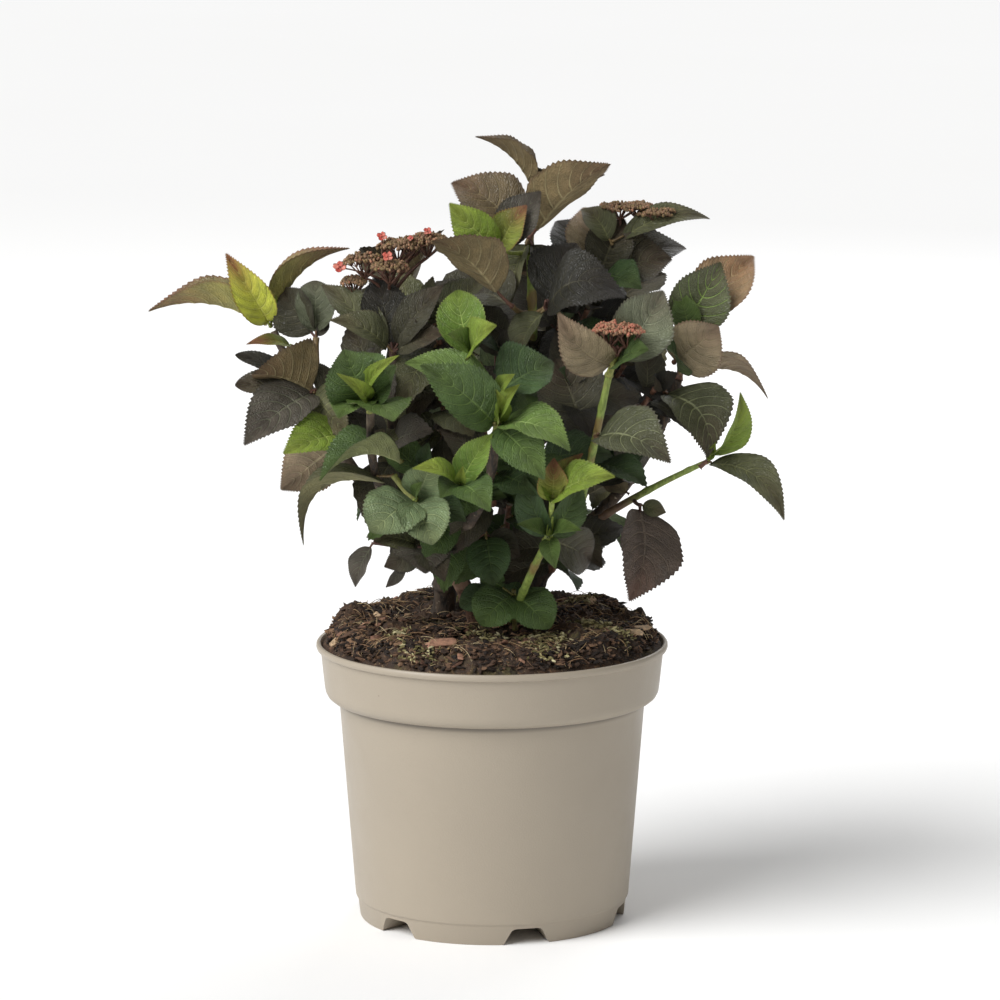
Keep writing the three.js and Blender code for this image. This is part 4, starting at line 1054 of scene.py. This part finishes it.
STALK_TINTS = {
    "dusk": 0.08, "ink": 0.05, "slate": 0.15, "dusk_green": 0.4, "ash": 0.4, "plum": 0.05,
    "sage": 0.9, "copper": 0.7, "khaki": 0.3, "veined": 0.7, "bronze": 0.3, "rust": 0.2,
    "olive": 0.5, "teal": 0.6, "green": 0.75, "fresh": 0.85, "spring": 0.85, "lime": 0.95,
    "gold": 0.95, "lime_red": 0.9}
twig_bark = tinted_material("twig_bark", "4a3029 6d4a3a 7f7444 97a950", 500, 0.62, 0.0003)


def twig_girth(t, y, z, k):
    """A twig is thicker where it leaves the bough and just under its leaves."""
    ends = 0.35 * math.exp(-(t / 0.06) ** 2) + 0.3 * math.exp(-((1 - t) / 0.08) ** 2)
    return 1 + ends + 0.06 * noise.noise((t * 9, y * 2, z * 2 + k))


def stalk_girth(t, y, z, k):
    return 1 + 0.7 * math.exp(-(t / 0.10) ** 2) + 0.1 * math.exp(-((1 - t) / 0.1) ** 2)


rods = []
for a, b, thick, thin, tint in TWIGS + [(*path, 2.6, 1.5, 0.35) for path in twig_paths]:
    a, b = Vector(a), Vector(b)
    sag = Vector((between(-1, 1), between(-1, 1), -1)) * (b - a).length * 0.05
    rods.append((a / 1000, ((a + b) / 2 + sag) / 1000, b / 1000, thick / 1000, thin / 1000, tint))
twigs = new_piece("twigs", bend_rods(rod_pattern(20, 10), rods, twig_girth), twig_bark)

rods = [(foot, bend, end, thick * 1.15, thick * 0.85,
         STALK_TINTS[tone] + between(-0.06, 0.05))
        for foot, bend, end, thick, tone in leaf_stalks]
stalks = new_piece("leaf_stalks", bend_rods(rod_pattern(8, 8), rods, stalk_girth), twig_bark)
for piece in (twigs, stalks):
    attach(piece, "root")

# ---- flower heads ---------------------------------------------------------------------------
# Two flat lace-like heads and a small one, gone over or not yet open: brown and pinkish buds on
# thin branching stalks, with a few coral sepals left at the rim of the left one.

HEADS = [  # name, stalk from and to, lobes as middle and half sizes, in mm, and tint of its buds
    ("flower_head_left", ((-64, -44, 392), (-66, -34, 424)), [((-60, -36, 446), (14, 12, 7)),
        ((-41, -30, 449), (12, 12, 7)), ((-81, -42, 437), (14, 10, 7)),
        ((-65, -50, 434), (12, 9, 7)), ((-88, -40, 424), (8, 7, 5)),
        ((-52, -20, 446), (12, 12, 6))], 0.4),
    ("flower_head_right", ((76, 26, 438), (84, 28, 456)), [((83, 28, 464), (14, 13, 4)),
        ((107, 25, 461), (13, 11, 3.5)), ((95, 32, 464), (11, 12, 4))], 0.45),
    ("flower_head_small", ((78, -90, 384), (79, -96, 396)), [((74, -96, 400), (11, 10, 7)),
        ((85, -94, 399), (11, 10, 7))], 0.85),
]
BUDS_PER_LOBE, RAYS_PER_LOBE = 340, 9
head_luck = random.Random(5)
between = head_luck.uniform
bud_skin = tinted_material("flower_buds", "57432f 857049 7d5f48 a88464 b06e58", 1500, 0.7, 0.0002)
sepal_skin = tinted_material("sepals", "b8473c cf6452 d98a78", 900, 0.5, 0.0002)

bm = bmesh.new()
bmesh.ops.create_icosphere(bm, subdivisions=1, radius=1)
bud_pattern = pattern_from(bm)
bm = bmesh.new()
bmesh.ops.create_grid(bm, x_segments=4, y_segments=4, size=1)
for vert in bm.verts:
    u, y = (vert.co.x + 1) / 2, vert.co.y
    vert.co = (u, y * 0.52 * (u * (1.06 - u)) ** 0.4 * 1.6, 0.25 * u * u + 0.12 * y * y)
add_underside(bm, 0.05)
bmesh.ops.remove_doubles(bm, verts=bm.verts, dist=1e-6)
sepal_pattern = pattern_from(bm)
pedicel = rod_pattern(4, 4)

for name, stalk, lobes, tint in HEADS:
    low, high = (Vector(end) / 1000 for end in stalk)
    rods = [(low, (low + high) / 2 + Vector((0.001, -0.001, 0)), high - Vector((0, 0, 0.006)),
             0.0018, 0.0014, 0.15)]
    bud_spots = []
    for lobe in lobes:
        middle, halves = (Vector(part) / 1000 for part in lobe)

        def on_lobe(out, bearing, up):
            """A spot in the lobe, out and up as shares of its half sizes."""
            return middle + Vector((halves.x * out * math.cos(bearing),
                                    halves.y * out * math.sin(bearing), halves.z * up))

        fork = middle - Vector((0, 0, halves.z * 0.9 + 0.004))
        rods.append((high - Vector((0, 0, 0.012)), (high + fork) / 2, fork, 0.0013, 0.0010, 0.2))
        rays = [on_lobe(0.86 * math.sqrt((k + 0.5) / RAYS_PER_LOBE), k * 2.4, -0.35)
                for k in range(RAYS_PER_LOBE)]
        rods += [(fork, (fork + end) / 2 - Vector((0, 0, 0.0008)), end, 0.0008, 0.0005, 0.25)
                 for end in rays]
        for bud in range(BUDS_PER_LOBE):
            bearing, out = between(0, 6.283), math.sqrt(head_luck.random())
            dome = math.sqrt(max(0, 1 - out * out))
            spot = on_lobe(out, bearing, dome * 0.85 * between(0.55, 1) - 0.1)
            spot += Vector((0.4, 0.4, 1)) * 0.0022 * noise.noise(spot * 260)
            if not bud % 3:
                near = min(rays, key=lambda end: (end - spot).length)
                rods.append((near, (near + spot) / 2, spot, 0.00035, 0.00025, 0.3))
            size = between(0.0006, 0.0012)
            bud_spots.append((laid(spot, any_turn(head_luck), size, size, size * 1.25),
                              min(1, max(0, head_luck.gauss(tint, 0.22))), 0.2))
    branches = new_piece(name + "_branches", bend_rods(pedicel, rods), twig_bark)
    buds = new_piece(name + "_buds", scatter(bud_pattern, bud_spots), bud_skin)
    for piece in (branches, buds):
        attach(piece, "root")
    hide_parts(name)

SEPALS = [  # place and length in mm
    ((-97, -46, 434), 4.4), ((-70, -40, 453), 3.4), ((-66, -56, 442), 3.6),
    ((-41, -36, 456), 2.8), ((-52, -40, 452), 2.0)]
SEPAL_FORK = (-70, -42, 426)       # mm
SEPALS_EACH, SEPAL_TILT = 4, 0.9   # the tilt is in radians
rods, spots = [], []
for spot, size in SEPALS:
    way = (SEPAL_FORK, ((spot[0] + SEPAL_FORK[0]) / 2, -44, 432), spot)
    rods.append([Vector(at) / 1000 for at in way] + [0.0007, 0.0005, 0.3])
    first = between(0, 360 / SEPALS_EACH)
    for k in range(SEPALS_EACH):
        round_stalk = Matrix.Rotation(math.radians(first + 360 / SEPALS_EACH * k), 4, "Z")
        turn = Matrix.Rotation(SEPAL_TILT, 4, "X") @ round_stalk
        spots.append((laid(Vector(spot) / 1000, turn, *[size / 1000] * 3), head_luck.random(), 0.1))
sepal_stalks = new_piece("flower_head_left_sepal_stalks", bend_rods(pedicel, rods), twig_bark)
sepals = new_piece("flower_head_left_sepals", scatter(sepal_pattern, spots), sepal_skin)
for piece in (sepal_stalks, sepals):
    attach(piece, "root")
